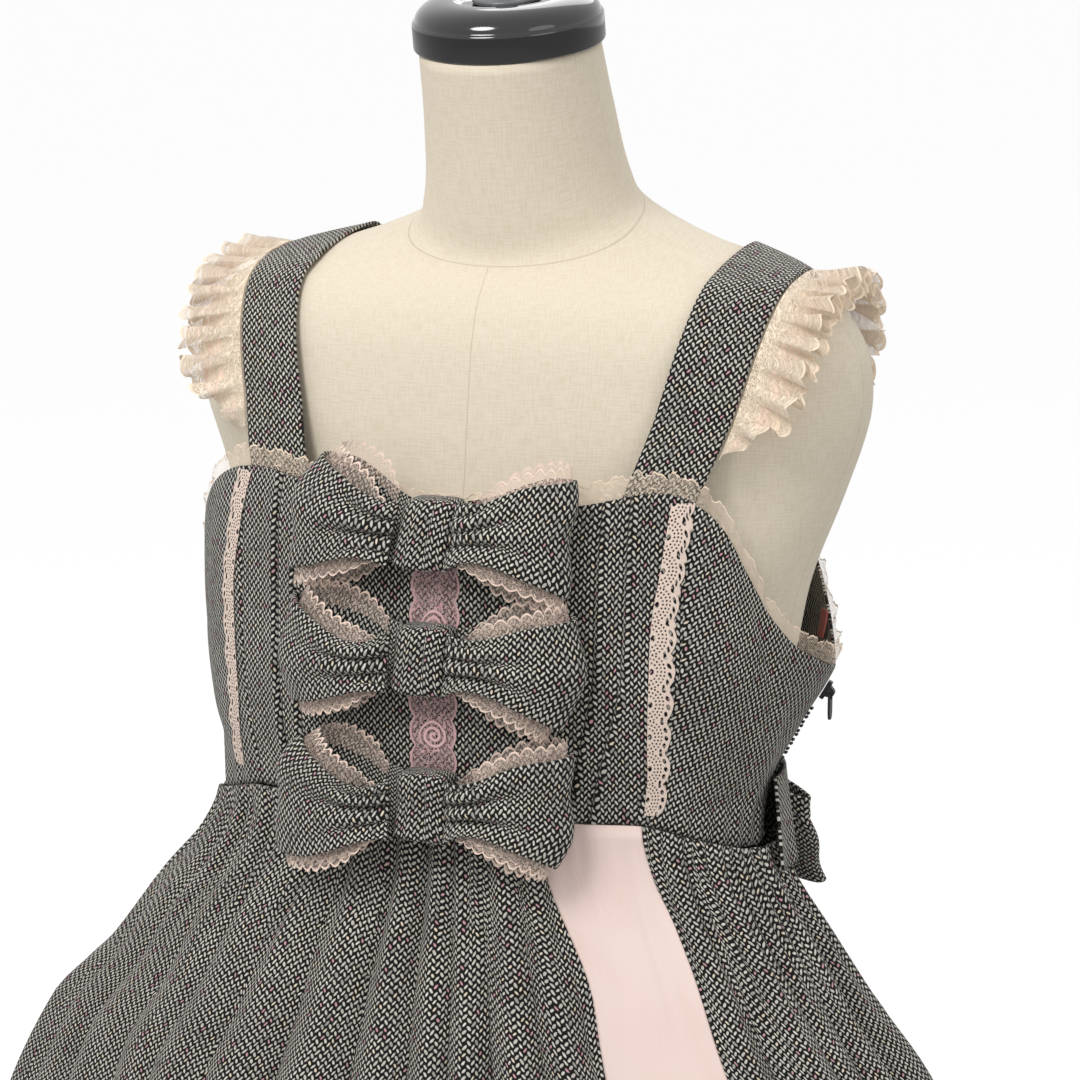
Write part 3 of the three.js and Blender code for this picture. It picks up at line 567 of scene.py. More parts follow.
@dataclass(frozen=True)
class Tweed(Surface):
    """Woven wool tweed: slanted off-white floats on a near-black ground.

    A coarse barleycorn weave shows pale dashes that lean one way and the other in turn, each
    a raised float of woollen yarn, with pink and cream flecks spun in. It is matt and a
    little hairy, so light catches its edges softly.
    """

    repeat: float = 3.7
    float_length: float = 2.8
    float_width: float = 1.2
    ground: str = "121110"
    ground_worn: str = "2a2825"
    yarns: tuple[tuple[float, str], ...] = (
        (0.0, "aeada5"),
        (0.1, "d2cec4"),
        (0.35, "dfdbd0"),
        (0.78, "e9e5da"),
        (0.89, "f2e4cc"),
        (0.955, "dcaab3"),
    )

    def inputs(self, add: Add) -> dict[str, object]:
        """Adds the nodes that the shader reads.

        Args:
            add: Adds a node to the material.

        Returns:
            The shader's inputs, which follow the cloth's own lengths in metres.
        """
        cloth = add("UVMap", uv_map="cloth")
        cell = self.repeat * MM
        drift = add("TexNoise", cloth, by_name={"Scale": 0.45 / cell}, output=1)
        drift = add("VectorMath", drift, (0.5, 0.5, 0.5), operation="SUBTRACT")
        drift = add("VectorMath", drift, (0.42, 0.42, 0), operation="MULTIPLY")
        cells = add("VectorMath", cloth, (1 / cell, 1 / cell, 0), operation="MULTIPLY")
        cells = add("VectorMath", cells, drift, operation="ADD")
        masks, shades = [], []
        for offset, lean in ((0.0, 58.0), (0.5, 116.0)):
            moved = add("VectorMath", cells, (offset,) * 3, operation="ADD")
            which = add("VectorMath", moved, operation="FLOOR")
            inside = add("VectorMath", moved, which, operation="SUBTRACT")
            inside = add("VectorMath", inside, (0.5, 0.5, 0), operation="SUBTRACT")
            angle = {"Angle": -math.radians(lean)}
            inside = add(
                "VectorRotate", inside, by_name=angle, rotation_type="Z_AXIS"
            )
            reach = (2 * self.repeat / self.float_length, 2 * self.repeat / self.float_width, 0)
            inside = add("VectorMath", inside, reach, operation="MULTIPLY")
            far = add("VectorMath", inside, output="Value", operation="LENGTH")
            which = add("VectorMath", which, (offset,) * 3, operation="ADD")
            chance = add("TexWhiteNoise", which, noise_dimensions="3D")
            swell = add("MapRange", chance, 0.0, 1.0, -0.16, 0.12)
            far = add("Math", far, swell, operation="ADD")
            masks.append(add("MapRange", far, 1.08, 0.7, **SMOOTH))
            shades.append(chance)
        mask = add("Math", masks[0], masks[1], operation="MAXIMUM")
        second = add("Math", masks[1], masks[0], operation="GREATER_THAN")
        chance = add("Mix", second, None, shades[0], shades[1], data_type="FLOAT")
        yarn = add("ValToRGB", chance)
        ramp = yarn.node.color_ramp
        ramp.interpolation = "CONSTANT"
        while len(ramp.elements) < len(self.yarns):
            ramp.elements.new(0.5)
        for stop, (place, code) in zip(ramp.elements, self.yarns):
            stop.position = place
            stop.color = srgb(code)
        fuzz = add("TexNoise", cloth, by_name={"Scale": 2300.0, "Detail": 3.0})
        worn = add("MapRange", fuzz, 0.42, 0.78, **SMOOTH)
        ground = add("Mix", worn, *SKIP, srgb(self.ground), srgb(self.ground_worn), **COLOURS)
        fibre = add("TexNoise", cloth, by_name={"Scale": 900.0, "Detail": 2.0})
        soften = add("MapRange", fibre, 0.25, 0.7, 0.7, 1.0)
        soft_mask = add("Math", mask, soften, operation="MULTIPLY")
        colour = add("Mix", soft_mask, *SKIP, ground, yarn, **COLOURS)
        broad = add("TexNoise", cloth, by_name={"Scale": 22.0, "Detail": 1.0})
        shade = add("MapRange", broad, 0.3, 0.7, 0.9, 1.08)
        shade = add("CombineXYZ", shade, shade, shade)
        colour = add("VectorMath", colour, shade, operation="MULTIPLY")
        relief = add("Math", mask, fuzz, fuzz, operation="MULTIPLY_ADD")
        bump = add("Bump", 0.55, 0.35 * MM, by_name={"Height": relief})
        return {
            "Base Color": colour,
            "Roughness": 0.92,
            "Specular IOR Level": 0.2,
            "Sheen Weight": 0.12,
            "Sheen Roughness": 0.45,
            "Normal": bump,
        }


@dataclass(frozen=True)
class Satin(Surface):
    """Polyester satin: long floats lie one way, so it has a soft, slightly cool sheen."""

    colour: str = "f2dcd3"
    shade: str = "e6cac0"

    def inputs(self, add: Add) -> dict[str, object]:
        """Adds the nodes that the shader reads.

        Args:
            add: Adds a node to the material.

        Returns:
            The shader's inputs, with fine streaks that run down the cloth.
        """
        cloth = add("UVMap", uv_map="cloth")
        streaks = add("VectorMath", cloth, (1500, 60, 0), operation="MULTIPLY")
        thread = add("TexNoise", streaks, by_name={"Scale": 1.0, "Detail": 2.0})
        colour = add("Mix", thread, *SKIP, srgb(self.shade), srgb(self.colour), **COLOURS)
        broad = add("TexNoise", cloth, by_name={"Scale": 14.0, "Detail": 2.0})
        broad = add("MapRange", broad, 0.3, 0.7, **SMOOTH)
        colour = add("Mix", broad, *SKIP, colour, srgb(self.colour), **COLOURS)
        rough = add("MapRange", thread, 0.3, 0.7, 0.3, 0.42)
        bump = add("Bump", 0.12, 0.15 * MM, by_name={"Height": thread})
        return {
            "Base Color": colour,
            "Roughness": rough,
            "Anisotropic": 0.4,
            "Specular IOR Level": 0.5,
            "Sheen Weight": 0.2,
            "Normal": bump,
        }


@dataclass(frozen=True)
class Linen(Surface):
    """Natural linen cover: a plain weave of uneven flax threads, matt, with flecks and slubs.

    The threads are drawn at 0.9 mm, coarser than real ones, so that they show.
    """

    light: str = "e5dac6"
    dark: str = "ddd0b9"
    fleck: str = "bfae92"
    line: str = "b0a085"
    thread: float = 0.9

    def inputs(self, add: Add) -> dict[str, object]:
        """Adds the nodes that the shader reads.

        Args:
            add: Adds a node to the material.

        Returns:
            The shader's inputs, with thin sewn lines where the seam attributes are near 0.
        """
        cloth = add("UVMap", uv_map="cloth")
        fine, long = 1 / (self.thread * MM), 1 / (9 * MM)
        warp = add("VectorMath", cloth, (fine, long, 0), operation="MULTIPLY")
        weft = add("VectorMath", cloth, (long, fine, 0), operation="MULTIPLY")
        warp = add("TexNoise", warp, by_name={"Scale": 1.0, "Detail": 2.0})
        weft = add("TexNoise", weft, by_name={"Scale": 1.0, "Detail": 2.0})
        weave = add("Math", warp, weft, operation="ADD")
        share = add("MapRange", weave, 0.72, 1.22, **SMOOTH)
        colour = add("Mix", share, *SKIP, srgb(self.dark), srgb(self.light), **COLOURS)
        slub = add("Math", warp, weft, operation="MAXIMUM")
        slub = add("MapRange", slub, 0.66, 0.8, **SMOOTH)
        slub = add("Math", slub, 0.25, operation="MULTIPLY")
        colour = add("Mix", slub, *SKIP, colour, srgb(self.fleck), **COLOURS)
        seams = 0.0
        for name in ("centre_seam", "neck_seam", "side_seam"):
            away = add("Attribute", attribute_name=name, output="Fac")
            away = add("Math", away, operation="ABSOLUTE")
            near = add("MapRange", away, 0.45, 0.1, **SMOOTH)
            seams = add("Math", seams, near, operation="MAXIMUM")
        line = add("Math", seams, 0.42, operation="MULTIPLY")
        colour = add("Mix", line, *SKIP, colour, srgb(self.line), **COLOURS)
        relief = add("Math", weave, seams, operation="SUBTRACT")
        bump = add("Bump", 0.3, 0.3 * MM, by_name={"Height": relief})
        return {
            "Base Color": colour,
            "Roughness": 0.88,
            "Specular IOR Level": 0.25,
            "Sheen Weight": 0.15,
            "Normal": bump,
        }


@dataclass(frozen=True)
class EmbroideredNet(Surface):
    """Lace of fine net with embroidered sprays, whirled roses, dots and a corded edge.

    Its UV map holds the length along the lace and the distance from its corded edge. Net is
    finer than the render shows, so it is drawn with threads 1 mm apart.
    """

    thread: str
    rose: str
    net_cover: float = 0.5
    rose_pitch: float = 26.0
    rose_middle: float = 14.0
    rose_size: float = 8.0
    sprays: float = 0.56
    width: float = 0.0
    inner_end: float = 1000.0
    cord: float = 1.25

    def rose_mask(self, add: Add, along: Socket, inward: Socket) -> Socket:
        """Petals that wind out from the middle of each rose.

        Args:
            add: Adds a node to the material.
            along: Length along the lace in millimetres.
            inward: Distance from its edge in millimetres.

        Returns:
            1 on petals and 0 off them.
        """
        turns = add("Math", along, self.rose_pitch, operation="DIVIDE")
        part = add("Math", turns, operation="FRACT")
        part = add("Math", part, 0.5, operation="SUBTRACT")
        x = add("Math", part, self.rose_pitch, operation="MULTIPLY")
        y = add("Math", inward, self.rose_middle, operation="SUBTRACT")
        flat = add("CombineXYZ", x, y, 0.0)
        away = add("VectorMath", flat, output="Value", operation="LENGTH")
        angle = add("Math", y, x, operation="ARCTAN2")
        rings = add("Math", away, 2 * math.pi / 3.1, operation="MULTIPLY")
        phase = add("Math", rings, angle, operation="ADD")
        wind = add("Math", phase, operation="SINE")
        petals = add("MapRange", wind, -0.45, 0.35, **SMOOTH)
        disc = add("MapRange", away, self.rose_size, self.rose_size - 1.2, **SMOOTH)
        return add("Math", petals, disc, operation="MULTIPLY")

    def inputs(self, add: Add) -> dict[str, object]:
        """Adds the nodes that the shader reads.

        Args:
            add: Adds a node to the material.

        Returns:
            The shader's inputs, see-through between the threads.
        """
        cloth = add("UVMap", uv_map="cloth")
        sized = add("VectorMath", cloth, (1000, 1000, 0), operation="MULTIPLY")
        along = add("SeparateXYZ", sized)
        inward = along.node.outputs[1]
        edge = inward
        if self.width:
            side = add("Math", inward, operation="ABSOLUTE")
            edge = add("Math", self.width / 2, side, operation="SUBTRACT")
        cord = add("MapRange", edge, self.cord + 0.35, self.cord - 0.35, **SMOOTH)
        net = add(
            "TexVoronoi", sized, by_name={"Scale": 1.0}, feature="DISTANCE_TO_EDGE"
        )
        net = add("MapRange", net, self.net_cover * 0.5, self.net_cover * 0.3, **SMOOTH)
        spray = add(
            "TexNoise", sized, by_name={"Scale": 0.27, "Detail": 2.0, "Distortion": 1.6}
        )
        spray = add("MapRange", spray, self.sprays, self.sprays + 0.035, **SMOOTH)
        dot = add("TexVoronoi", sized, by_name={"Scale": 0.16, "Randomness": 0.55})
        dot = add("MapRange", dot, 0.19, 0.13, **SMOOTH)
        rose = self.rose_mask(add, along, inward)
        sewn = add("Math", spray, dot, operation="MAXIMUM")
        sewn = add("Math", sewn, rose, operation="MAXIMUM")
        sewn = add("Math", sewn, cord, operation="MAXIMUM")
        cover = add("Math", net, 0.82, operation="MULTIPLY")
        cover = add("Math", sewn, cover, operation="MAXIMUM")
        kept = add("MapRange", edge, self.inner_end + 0.4, self.inner_end - 0.4, **SMOOTH)
        cover = add("Math", cover, kept, operation="MULTIPLY")
        colour = add("Mix", rose, *SKIP, srgb(self.thread), srgb(self.rose), **COLOURS)
        shade = add("TexNoise", sized, by_name={"Scale": 1.4, "Detail": 2.0})
        shade = add("MapRange", shade, 0.3, 0.7, 0.86, 1.05)
        shade = add("CombineXYZ", shade, shade, shade)
        colour = add("VectorMath", colour, shade, operation="MULTIPLY")
        bump = add("Bump", 0.7, 0.5 * MM, by_name={"Height": sewn})
        return {
            "Base Color": colour,
            "Roughness": 0.75,
            "Specular IOR Level": 0.25,
            "Alpha": cover,
            "Sheen Weight": 0.15,
            "Normal": bump,
        }


@dataclass(frozen=True)
class ClunyLace(Surface):
    """Bobbin lace of thick cotton: fans side by side, with loops round each and pin holes.

    Its UV map holds the length along the lace and the distance from its scalloped edge.

    Attributes:
        repeat: Width of a fan.
        width: The lace's width.
        rings: Rows of holes round a fan's foot: radius, spacing and size of hole.
    """

    thread: str = "f7e6d9"
    shade: str = "e4cbbb"
    repeat: float = 16.5
    width: float = 14.0
    rings: tuple[tuple[float, float, float], ...] = (
        (11.3, 4.1, 1.25),
        (8.3, 1.9, 0.5),
        (6.4, 1.9, 0.5),
        (4.5, 1.9, 0.5),
        (1.3, 9.0, 1.3),
    )

    def inputs(self, add: Add) -> dict[str, object]:
        """Adds the nodes that the shader reads.

        Args:
            add: Adds a node to the material.

        Returns:
            The shader's inputs, open in the lace's holes.
        """
        cloth = add("UVMap", uv_map="cloth")
        sized = add("VectorMath", cloth, (1000, 1000, 0), operation="MULTIPLY")
        x = add("SeparateXYZ", sized)
        deep = add("Math", self.width, x.node.outputs[1], operation="SUBTRACT")
        x = add("Math", x, self.repeat, operation="DIVIDE")
        x = add("Math", x, operation="FRACT")
        x = add("Math", x, 0.5, operation="SUBTRACT")
        x = add("Math", x, self.repeat, operation="MULTIPLY")
        flat = add("CombineXYZ", x, deep, 0.0)
        radius = add("VectorMath", flat, output="Value", operation="LENGTH")
        turn = add("Math", x, deep, operation="ARCTAN2")
        open_share = 0.0
        for at, spacing, size in self.rings:
            share = add("Math", turn, spacing / at, operation="DIVIDE")
            share = add("Math", share, 0.5, operation="ADD")
            share = add("Math", share, operation="FRACT")
            share = add("Math", share, 0.5, operation="SUBTRACT")
            share = add("Math", share, spacing, operation="MULTIPLY")
            out = add("Math", radius, at, operation="SUBTRACT")
            away = add("CombineXYZ", share, out, 0.0)
            away = add("VectorMath", away, output="Value", operation="LENGTH")
            hole = add("MapRange", away, size + 0.15, size - 0.2, **SMOOTH)
            open_share = add("Math", open_share, hole, operation="MAXIMUM")
        between = add("MapRange", radius, self.width + 0.6, self.width + 1.0, **SMOOTH)
        open_share = add("Math", open_share, between, operation="MAXIMUM")
        cover = add("Math", 1.0, open_share, operation="SUBTRACT")
        grain = add("TexNoise", sized, by_name={"Scale": 1.6, "Detail": 2.0})
        colour = add("Mix", grain, *SKIP, srgb(self.shade), srgb(self.thread), **COLOURS)
        relief = add("Math", cover, grain, operation="ADD")
        bump = add("Bump", 0.8, 0.6 * MM, by_name={"Height": relief})
        return {
            "Base Color": colour,
            "Roughness": 0.8,
            "Specular IOR Level": 0.25,
            "Alpha": cover,
            "Normal": bump,
        }


@dataclass(frozen=True)
class Hard(Surface):
    """A hard finish, coated or cast, with a faint unevenness in its gloss."""

    colour: str
    roughness: float
    metallic: float = 0.0
    coat: float = 0.0
    grain: float = 60.0

    def inputs(self, add: Add) -> dict[str, object]:
        """Adds the nodes that the shader reads.

        Args:
            add: Adds a node to the material.

        Returns:
            The shader's inputs.
        """
        place = add("TexCoord", output="Object")
        cloud = add("TexNoise", place, by_name={"Scale": self.grain, "Detail": 3.0})
        rough = add(
            "MapRange", cloud, 0.3, 0.7, self.roughness * 0.85, self.roughness * 1.2
        )
        light = srgb(self.colour)
        deep = tuple(c * 0.8 for c in light[:3]) + (1.0,)
        colour = add("Mix", cloud, *SKIP, deep, light, **COLOURS)
        bump = add("Bump", 0.05, 0.2 * MM, by_name={"Height": cloud})
        return {
            "Base Color": colour,
            "Roughness": rough,
            "Metallic": self.metallic,
            "Coat Weight": self.coat,
            "Coat Roughness": 0.06,
            "Normal": bump,
        }


class Finish(Enum):
    """The finishes of the dress and its form, each with the record's slot."""

    TWEED = ("tweed", Tweed("woven_tweed"))
    SATIN = ("satin", Satin("woven_satin"))
    LINEN = ("linen", Linen("natural_linen"))
    LACE = (
        "lace",
        EmbroideredNet("embroidered_net", "fbe8d0", "f6dac8", 0.42, sprays=0.53, cord=1.5),
    )
    BOW_LACE = (
        "lace",
        EmbroideredNet(
            "bow_net", "f6dccb", "e8bfb0", 0.15,
            rose_size=0.1, sprays=0.69, inner_end=13.0, cord=1.35,
        ),
    )
    EDGE_LACE = (
        "lace",
        EmbroideredNet("edge_net", "f6e0c8", "f0cdc0", 0.17, rose_size=0.1, sprays=0.68, cord=0.9),
    )
    ROSE_LACE = (
        "rose_lace",
        EmbroideredNet(
            "rose_net", "deb4b6", "e9bfc0", 0.2,
            rose_pitch=55.0, rose_middle=0.0, rose_size=8.6, sprays=0.6, width=25.0,
        ),
    )
    CLUNY = ("lace", ClunyLace("cluny_lace"))
    CAP = ("gloss_black", Hard("black_lacquer", "121111", 0.12, coat=1.0))
    STEEL = ("stand_metal", Hard("grey_painted_steel", "77787a", 0.38, 0.3))
    ZIP = ("zip_metal", Hard("dark_enamelled_zinc", "3f4041", 0.34, 0.6, grain=300.0))
    RIBBON = ("ribbon", Satin("woven_satin", "b06358", "8f4a42"))

    def material(self) -> bpy.types.Material:
        """The finish's one material, built when it is first asked for."""
        kind = self.value[1]
        if self.name not in _materials:
            _materials[self.name] = kind.material()
        return _materials[self.name]

    @property
    def slot(self) -> str:
        """The record's material slot."""
        return self.value[0]


_materials: dict[str, bpy.types.Material] = {}


@dataclass
class Grid:
    """The numbers of a laid grid: places, and the cloth's lengths across and along it."""

    u: Numbers
    v: Numbers
    across: Numbers
    along: Numbers


def evened(values: Numbers, place: Numbers) -> Numbers:
    """Each value's mean over the grid line that it is on, so that a pattern isn't sheared."""
    _, line = np.unique(np.round(place, 6), return_inverse=True)
    return (np.bincount(line, values) / np.bincount(line))[line]


@dataclass
class Sheet:
    """A piece of cloth: a grid laid on a surface, with a UV map of its own lengths.

    Attributes:
        name: The piece's name.
        place: The surface.
        columns: Faces across it.
        rows: Faces up it.
        finish: Its material.
        thickness: Wall in millimetres, or 0 for lace, which stays a single layer.
        crests: For gathered cloth, the u of each fold's crest at each v. The weave then runs
            along each fold, and steps from one to the next in the valley between them.
        lengths: For lace, the UV map's own two lengths.
        closed: True where the piece goes all round, so that its sides are joined.
    """

    name: str
    place: Place
    columns: int
    rows: int
    finish: Finish
    thickness: float = TWEED_THICKNESS
    crests: Callable[[Numbers], Numbers] | None = None
    lengths: Callable[[Grid], tuple[Numbers, Numbers]] | None = None
    closed: bool = False
    attributes: dict[str, Place] = field(default_factory=dict)

    def measured(self, u: Numbers, v: Numbers, points: Numbers) -> tuple[Grid, Numbers]:
        """Lengths of the cloth across and along the grid.

        Args:
            u: Each vertex's u.
            v: Each vertex's v.
            points: Each vertex's place.

        Returns:
            The grid's numbers, and the lengths across it as a table of columns and rows.
        """
        i = np.rint(u * self.columns).astype(int)
        j = np.rint(v * self.rows).astype(int)
        table = np.zeros((self.columns + 1, self.rows + 1, 3))
        table[i, j] = points
        across = np.zeros(table.shape[:2])
        along = np.zeros(table.shape[:2])
        across[1:] = np.cumsum(np.linalg.norm(np.diff(table, axis=0), axis=2), axis=0)
        along[:, 1:] = np.cumsum(np.linalg.norm(np.diff(table, axis=1), axis=2), axis=1)
        centred = across - across[self.columns // 2]
        self.size = (float(across[-1].max()), float(along[:, -1].max()))
        corners = table[:-1, :-1], table[1:, :-1], table[1:, 1:], table[:-1, 1:]
        spans = np.cross(corners[2] - corners[0], corners[3] - corners[1])
        self.area = float(np.linalg.norm(spans, axis=2).sum() / 2)
        return Grid(u, v, centred[i, j], along[i, j]), across

    def fold_shift(self, grid: Grid, across: Numbers, faces: Numbers) -> Numbers:
        """How far each face's weave moves so that it follows the fold that the face is on.

        Args:
            grid: The grid's numbers.
            across: Lengths across, as a table of columns and rows.
            faces: The vertices of each face.

        Returns:
            A shift for each corner of each face.
        """
        crests = self.crests(np.linspace(0, 1, self.rows + 1))
        places = np.linspace(0, 1, self.columns + 1)
        middle = across[self.columns // 2]
        reach = np.array(
            [np.interp(row, places, across[:, j]) - middle[j] for j, row in enumerate(crests)]
        )
        j = np.rint(grid.v * self.rows).astype(int)[faces]
        centre = grid.u[faces].mean(axis=1)
        fold = np.abs(crests[j.min(axis=1)] - centre[:, None]).argmin(axis=1)
        return reach[0][fold][:, None] - reach[j, fold[:, None]]

    def build(self) -> bpy.types.Object:
        """Lays the grid and gives it its UV map and its wall.

        Returns:
            The new object, at the origin.
        """
        bm = bmesh.new()
        bmesh.ops.create_grid(bm, x_segments=self.columns, y_segments=self.rows, size=0.5)
        bm.verts.index_update()
        flat = np.array([vert.co[:2] for vert in bm.verts]) + 0.5
        u, v = np.clip(flat.T, 0.0, 1.0)
        points = self.place(u, v)
        grid, across = self.measured(u, v, points)
        first, second = self.lengths(grid) if self.lengths else (grid.across, grid.along)
        faces = np.array([[vert.index for vert in face.verts] for face in bm.faces])
        map_u = first[faces]
        if self.crests:
            map_u = map_u + self.fold_shift(grid, across, faces)
        map_v = second[faces]
        layer = bm.loops.layers.uv.new("cloth")
        for face, row_u, row_v in zip(bm.faces, map_u * MM, map_v * MM):
            for loop, x, y in zip(face.loops, row_u, row_v):
                loop[layer].uv = (x, y)
        for name, value in self.attributes.items():
            mark = bm.verts.layers.float.new(name)
            for vert, number in zip(bm.verts, value(u, v)):
                vert[mark] = number
        for vert, point in zip(bm.verts, points * MM):
            vert.co = point
        if self.closed:
            bmesh.ops.remove_doubles(bm, verts=bm.verts, dist=1e-6)
            bmesh.ops.holes_fill(bm, edges=bm.edges, sides=0)
        return finished(bm, self.name, self.finish, self.thickness)

    def wear(self, node: str, held: str = "") -> None:
        """Builds the piece and puts it in its node's place.

        Args:
            node: The node that it stands for.
            held: How the cloth is held, or nothing where it is no open sheet.
        """
        obj = join_dress(self.build(), self.finish, node)
        if held:
            declare(self, obj)


def finished(bm: bmesh.types.BMesh, name: str, finish: Finish, wall: float) -> bpy.types.Object:
    """Turns a mesh under work into a smooth object with its material and wall.

    Args:
        bm: The mesh under work, in metres, which is freed.
        name: The object's name.
        finish: Its material.
        wall: Thickness added outwards in millimetres, or 0.

    Returns:
        The object.
    """
    mesh = bpy.data.meshes.new(name)
    bm.to_mesh(mesh)
    bm.free()
    mesh.polygons.foreach_set("use_smooth", [True] * len(mesh.polygons))
    obj = bpy.data.objects.new(name, mesh)
    bpy.context.scene.collection.objects.link(obj)
    mesh.materials.append(finish.material())
    if wall:
        solidify = obj.modifiers.new("wall", "SOLIDIFY")
        solidify.thickness = wall * MM
        solidify.offset = 1.0
    return obj


def join_dress(obj: bpy.types.Object, finish: Finish, *nodes: str) -> bpy.types.Object:
    """Makes a piece ride on the dress's body in the place of its nodes.

    Args:
        obj: The piece.
        finish: Its finish, for the record's slot.
        nodes: The nodes that it stands for.

    Returns:
        The piece.
    """
    if nodes:
        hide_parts(*nodes)
    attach(obj, DRESS)
    log.info("%s: %d faces", obj.name, len(obj.data.polygons))
    return obj


def declare(sheet: Sheet, obj: bpy.types.Object) -> None:
    """Declares a piece of cloth with the size that it was cut to.

    The cut's sides are the cloth's longest row and column, measured along its own folds.

    Args:
        sheet: The sheet, with its measured size and area.
        obj: Its object.
    """
    width, length = (max(side, 10.0) * MM for side in sheet.size)
    area = min(max(sheet.area * MM * MM, 0.3 * width * length), width * length)
    cut = (round(width, 3), round(length, 3), round(area, 4))
    log.info("%s: cut %s by %s m, area %s", obj.name, *cut)


@dataclass
class DressForm:
    """The padded form, its neck cap and its stand.

    Attributes:
        seam_level: Height of the seam round the neck's foot, at the side.
        seam_dip: How far that seam drops at the centre front.
    """

    seam_level: float = 1358.0
    seam_dip: float = 42.0
    cap_radius: float = 47.8
    cap_band: float = 14.0
    cap_round: tuple[float, float] = (18.0, 10.0)
    cap_dish: float = 3.0
    spindle: tuple[tuple[float, float], ...] = (
        (0, 0), (17, 0), (17, 2.5), (6.4, 3.4), (5.6, 4.6), (5.6, 11), (4.6, 12), (0, 12)
    )
    base_radius: float = 165.0
    base_height: float = 20.0
    pole_radius: float = 14.0

    def torso_place(self, u: Numbers, v: Numbers) -> Numbers:
        """Surface of the cover, from the form's underside to the neck's top."""
        return form_point(mix(-180.0, 180.0, u), mix(FORM_BOTTOM, NECK_TOP, v))

    def centre_seam(self, u: Numbers, v: Numbers) -> Numbers:
        """Millimetres from the seam down the centre front and back."""
        point = self.torso_place(u, v)
        front = np.where(point[:, 1] < 0, self.seam_dip, 0)
        return np.where(point[:, 2] < self.seam_level - front, point[:, 0], 50.0)

    def neck_seam(self, u: Numbers, v: Numbers) -> Numbers:
        """Millimetres from the seam round the neck's foot."""
        point = self.torso_place(u, v)
        turn = mix(-180.0, 180.0, u)
        dip = self.seam_dip * (0.5 + 0.5 * np.cos(np.radians(turn)))
        return point[:, 2] - (self.seam_level - dip)

    def side_seam(self, u: Numbers, v: Numbers) -> Numbers:
        """Millimetres from the seam down each side."""
        turn = np.abs(mix(-180.0, 180.0, u))
        return (turn - 84.0) * 2.3

    def turned(
        self, name: str, profile: Sequence[tuple[float, float]], finish: Finish, place: Matrix
    ) -> bpy.types.Object:
        """A body turned about the upright axis.

        Args:
            name: The object's name.
            profile: Radius and height of each corner in millimetres.
            finish: Its finish.
            place: Where it goes.

        Returns:
            The object.
        """
        bm = bmesh.new()
        verts = [bm.verts.new((r * MM, 0, z * MM)) for r, z in profile]
        edges = [bm.edges.new(pair) for pair in zip(verts, verts[1:])]
        bmesh.ops.spin(
            bm, geom=[*verts, *edges], cent=(0, 0, 0), axis=(0, 0, 1), angle=2 * math.pi,
            steps=72, use_merge=True,
        )
        bmesh.ops.remove_doubles(bm, verts=bm.verts, dist=1e-6)
        bmesh.ops.recalc_face_normals(bm, faces=bm.faces)
        bmesh.ops.transform(bm, matrix=place, verts=bm.verts)
        obj = finished(bm, name, finish, 0.0)
        bevel = obj.modifiers.new("edges", "BEVEL")
        bevel.width = 0.8 * MM
        bevel.segments = 2
        bevel.limit_method = "ANGLE"
        return obj

    def build(self) -> None:
        """Builds the form and its stand."""
        torso = Sheet(
            "form_cover", self.torso_place, 132, 140, Finish.LINEN, 0.0,
            lengths=lambda g: (g.across, evened(g.along, g.v)),
            closed=True,
            attributes={
                "centre_seam": self.centre_seam,
                "neck_seam": self.neck_seam,
                "side_seam": self.side_seam,
            },
        )
        torso.wear("form_torso")
        self.build_cap()
        self.build_stand()

    def build_cap(self) -> None:
        """Builds the neck cap and the spindle on it."""
        mid, lean = float(FORM.at("mid", NECK_TOP)), float(FORM.at("lean", NECK_TOP))
        place = Matrix.Translation((0, mid * MM, NECK_TOP * MM))
        place = place @ Matrix.Rotation(math.atan(lean), 4, "X")
        round_out, round_up = self.cap_round
        flat, top = self.cap_radius - round_out, self.cap_band + round_up
        ledge = 1.4
        rounded = [
            (
                flat + (round_out - ledge) * math.cos(a),
                self.cap_band + round_up * math.sin(a) + SEAM,
            )
            for a in np.linspace(0.06, math.pi / 2, 12)
        ]
        low = SEAM
        profile = [
            (0, low),
            (self.cap_radius - 0.8, low),
            (self.cap_radius, low + 0.8),
            (self.cap_radius, self.cap_band - 0.5),
            (self.cap_radius - 0.6, self.cap_band + SEAM),
            *rounded,
            (flat - 3, top + SEAM),
            (flat - 7, top - self.cap_dish + SEAM),
            (0, top - self.cap_dish + SEAM),
        ]
        cap = self.turned("neck_cap_turned", profile, Finish.CAP, place)
        join_dress(cap, Finish.CAP, "neck_cap")
        seat = top - self.cap_dish + 2 * SEAM
        spindle = self.turned(
            "cap_spindle_turned",
            [(radius, seat + up) for radius, up in self.spindle],
            Finish.STEEL,
            place,
        )
        join_dress(spindle, Finish.STEEL, "cap_spindle")

    def build_stand(self) -> None:
        """Builds the round base and the pole."""
        radius, height = self.base_radius, self.base_height
        base = self.turned(
            "base_disc_turned",
            [
                (0, 0), (radius - 1.5, 0), (radius, 1.5), (radius, height - 6),
                (radius - 1.8, height - 1.8), (radius - 6, height), (0, height),
            ],
            Finish.STEEL,
            Matrix.Identity(4),
        )
        join_dress(base, Finish.STEEL, "base_disc")
        pole = self.turned(
            "pole_turned",
            [
                (0, height + SEAM), (self.pole_radius, height + SEAM),
                (self.pole_radius, FORM_BOTTOM - SEAM), (0, FORM_BOTTOM - SEAM),
            ],
            Finish.STEEL,
            Matrix.Identity(4),
        )
        join_dress(pole, Finish.STEEL, "pole")


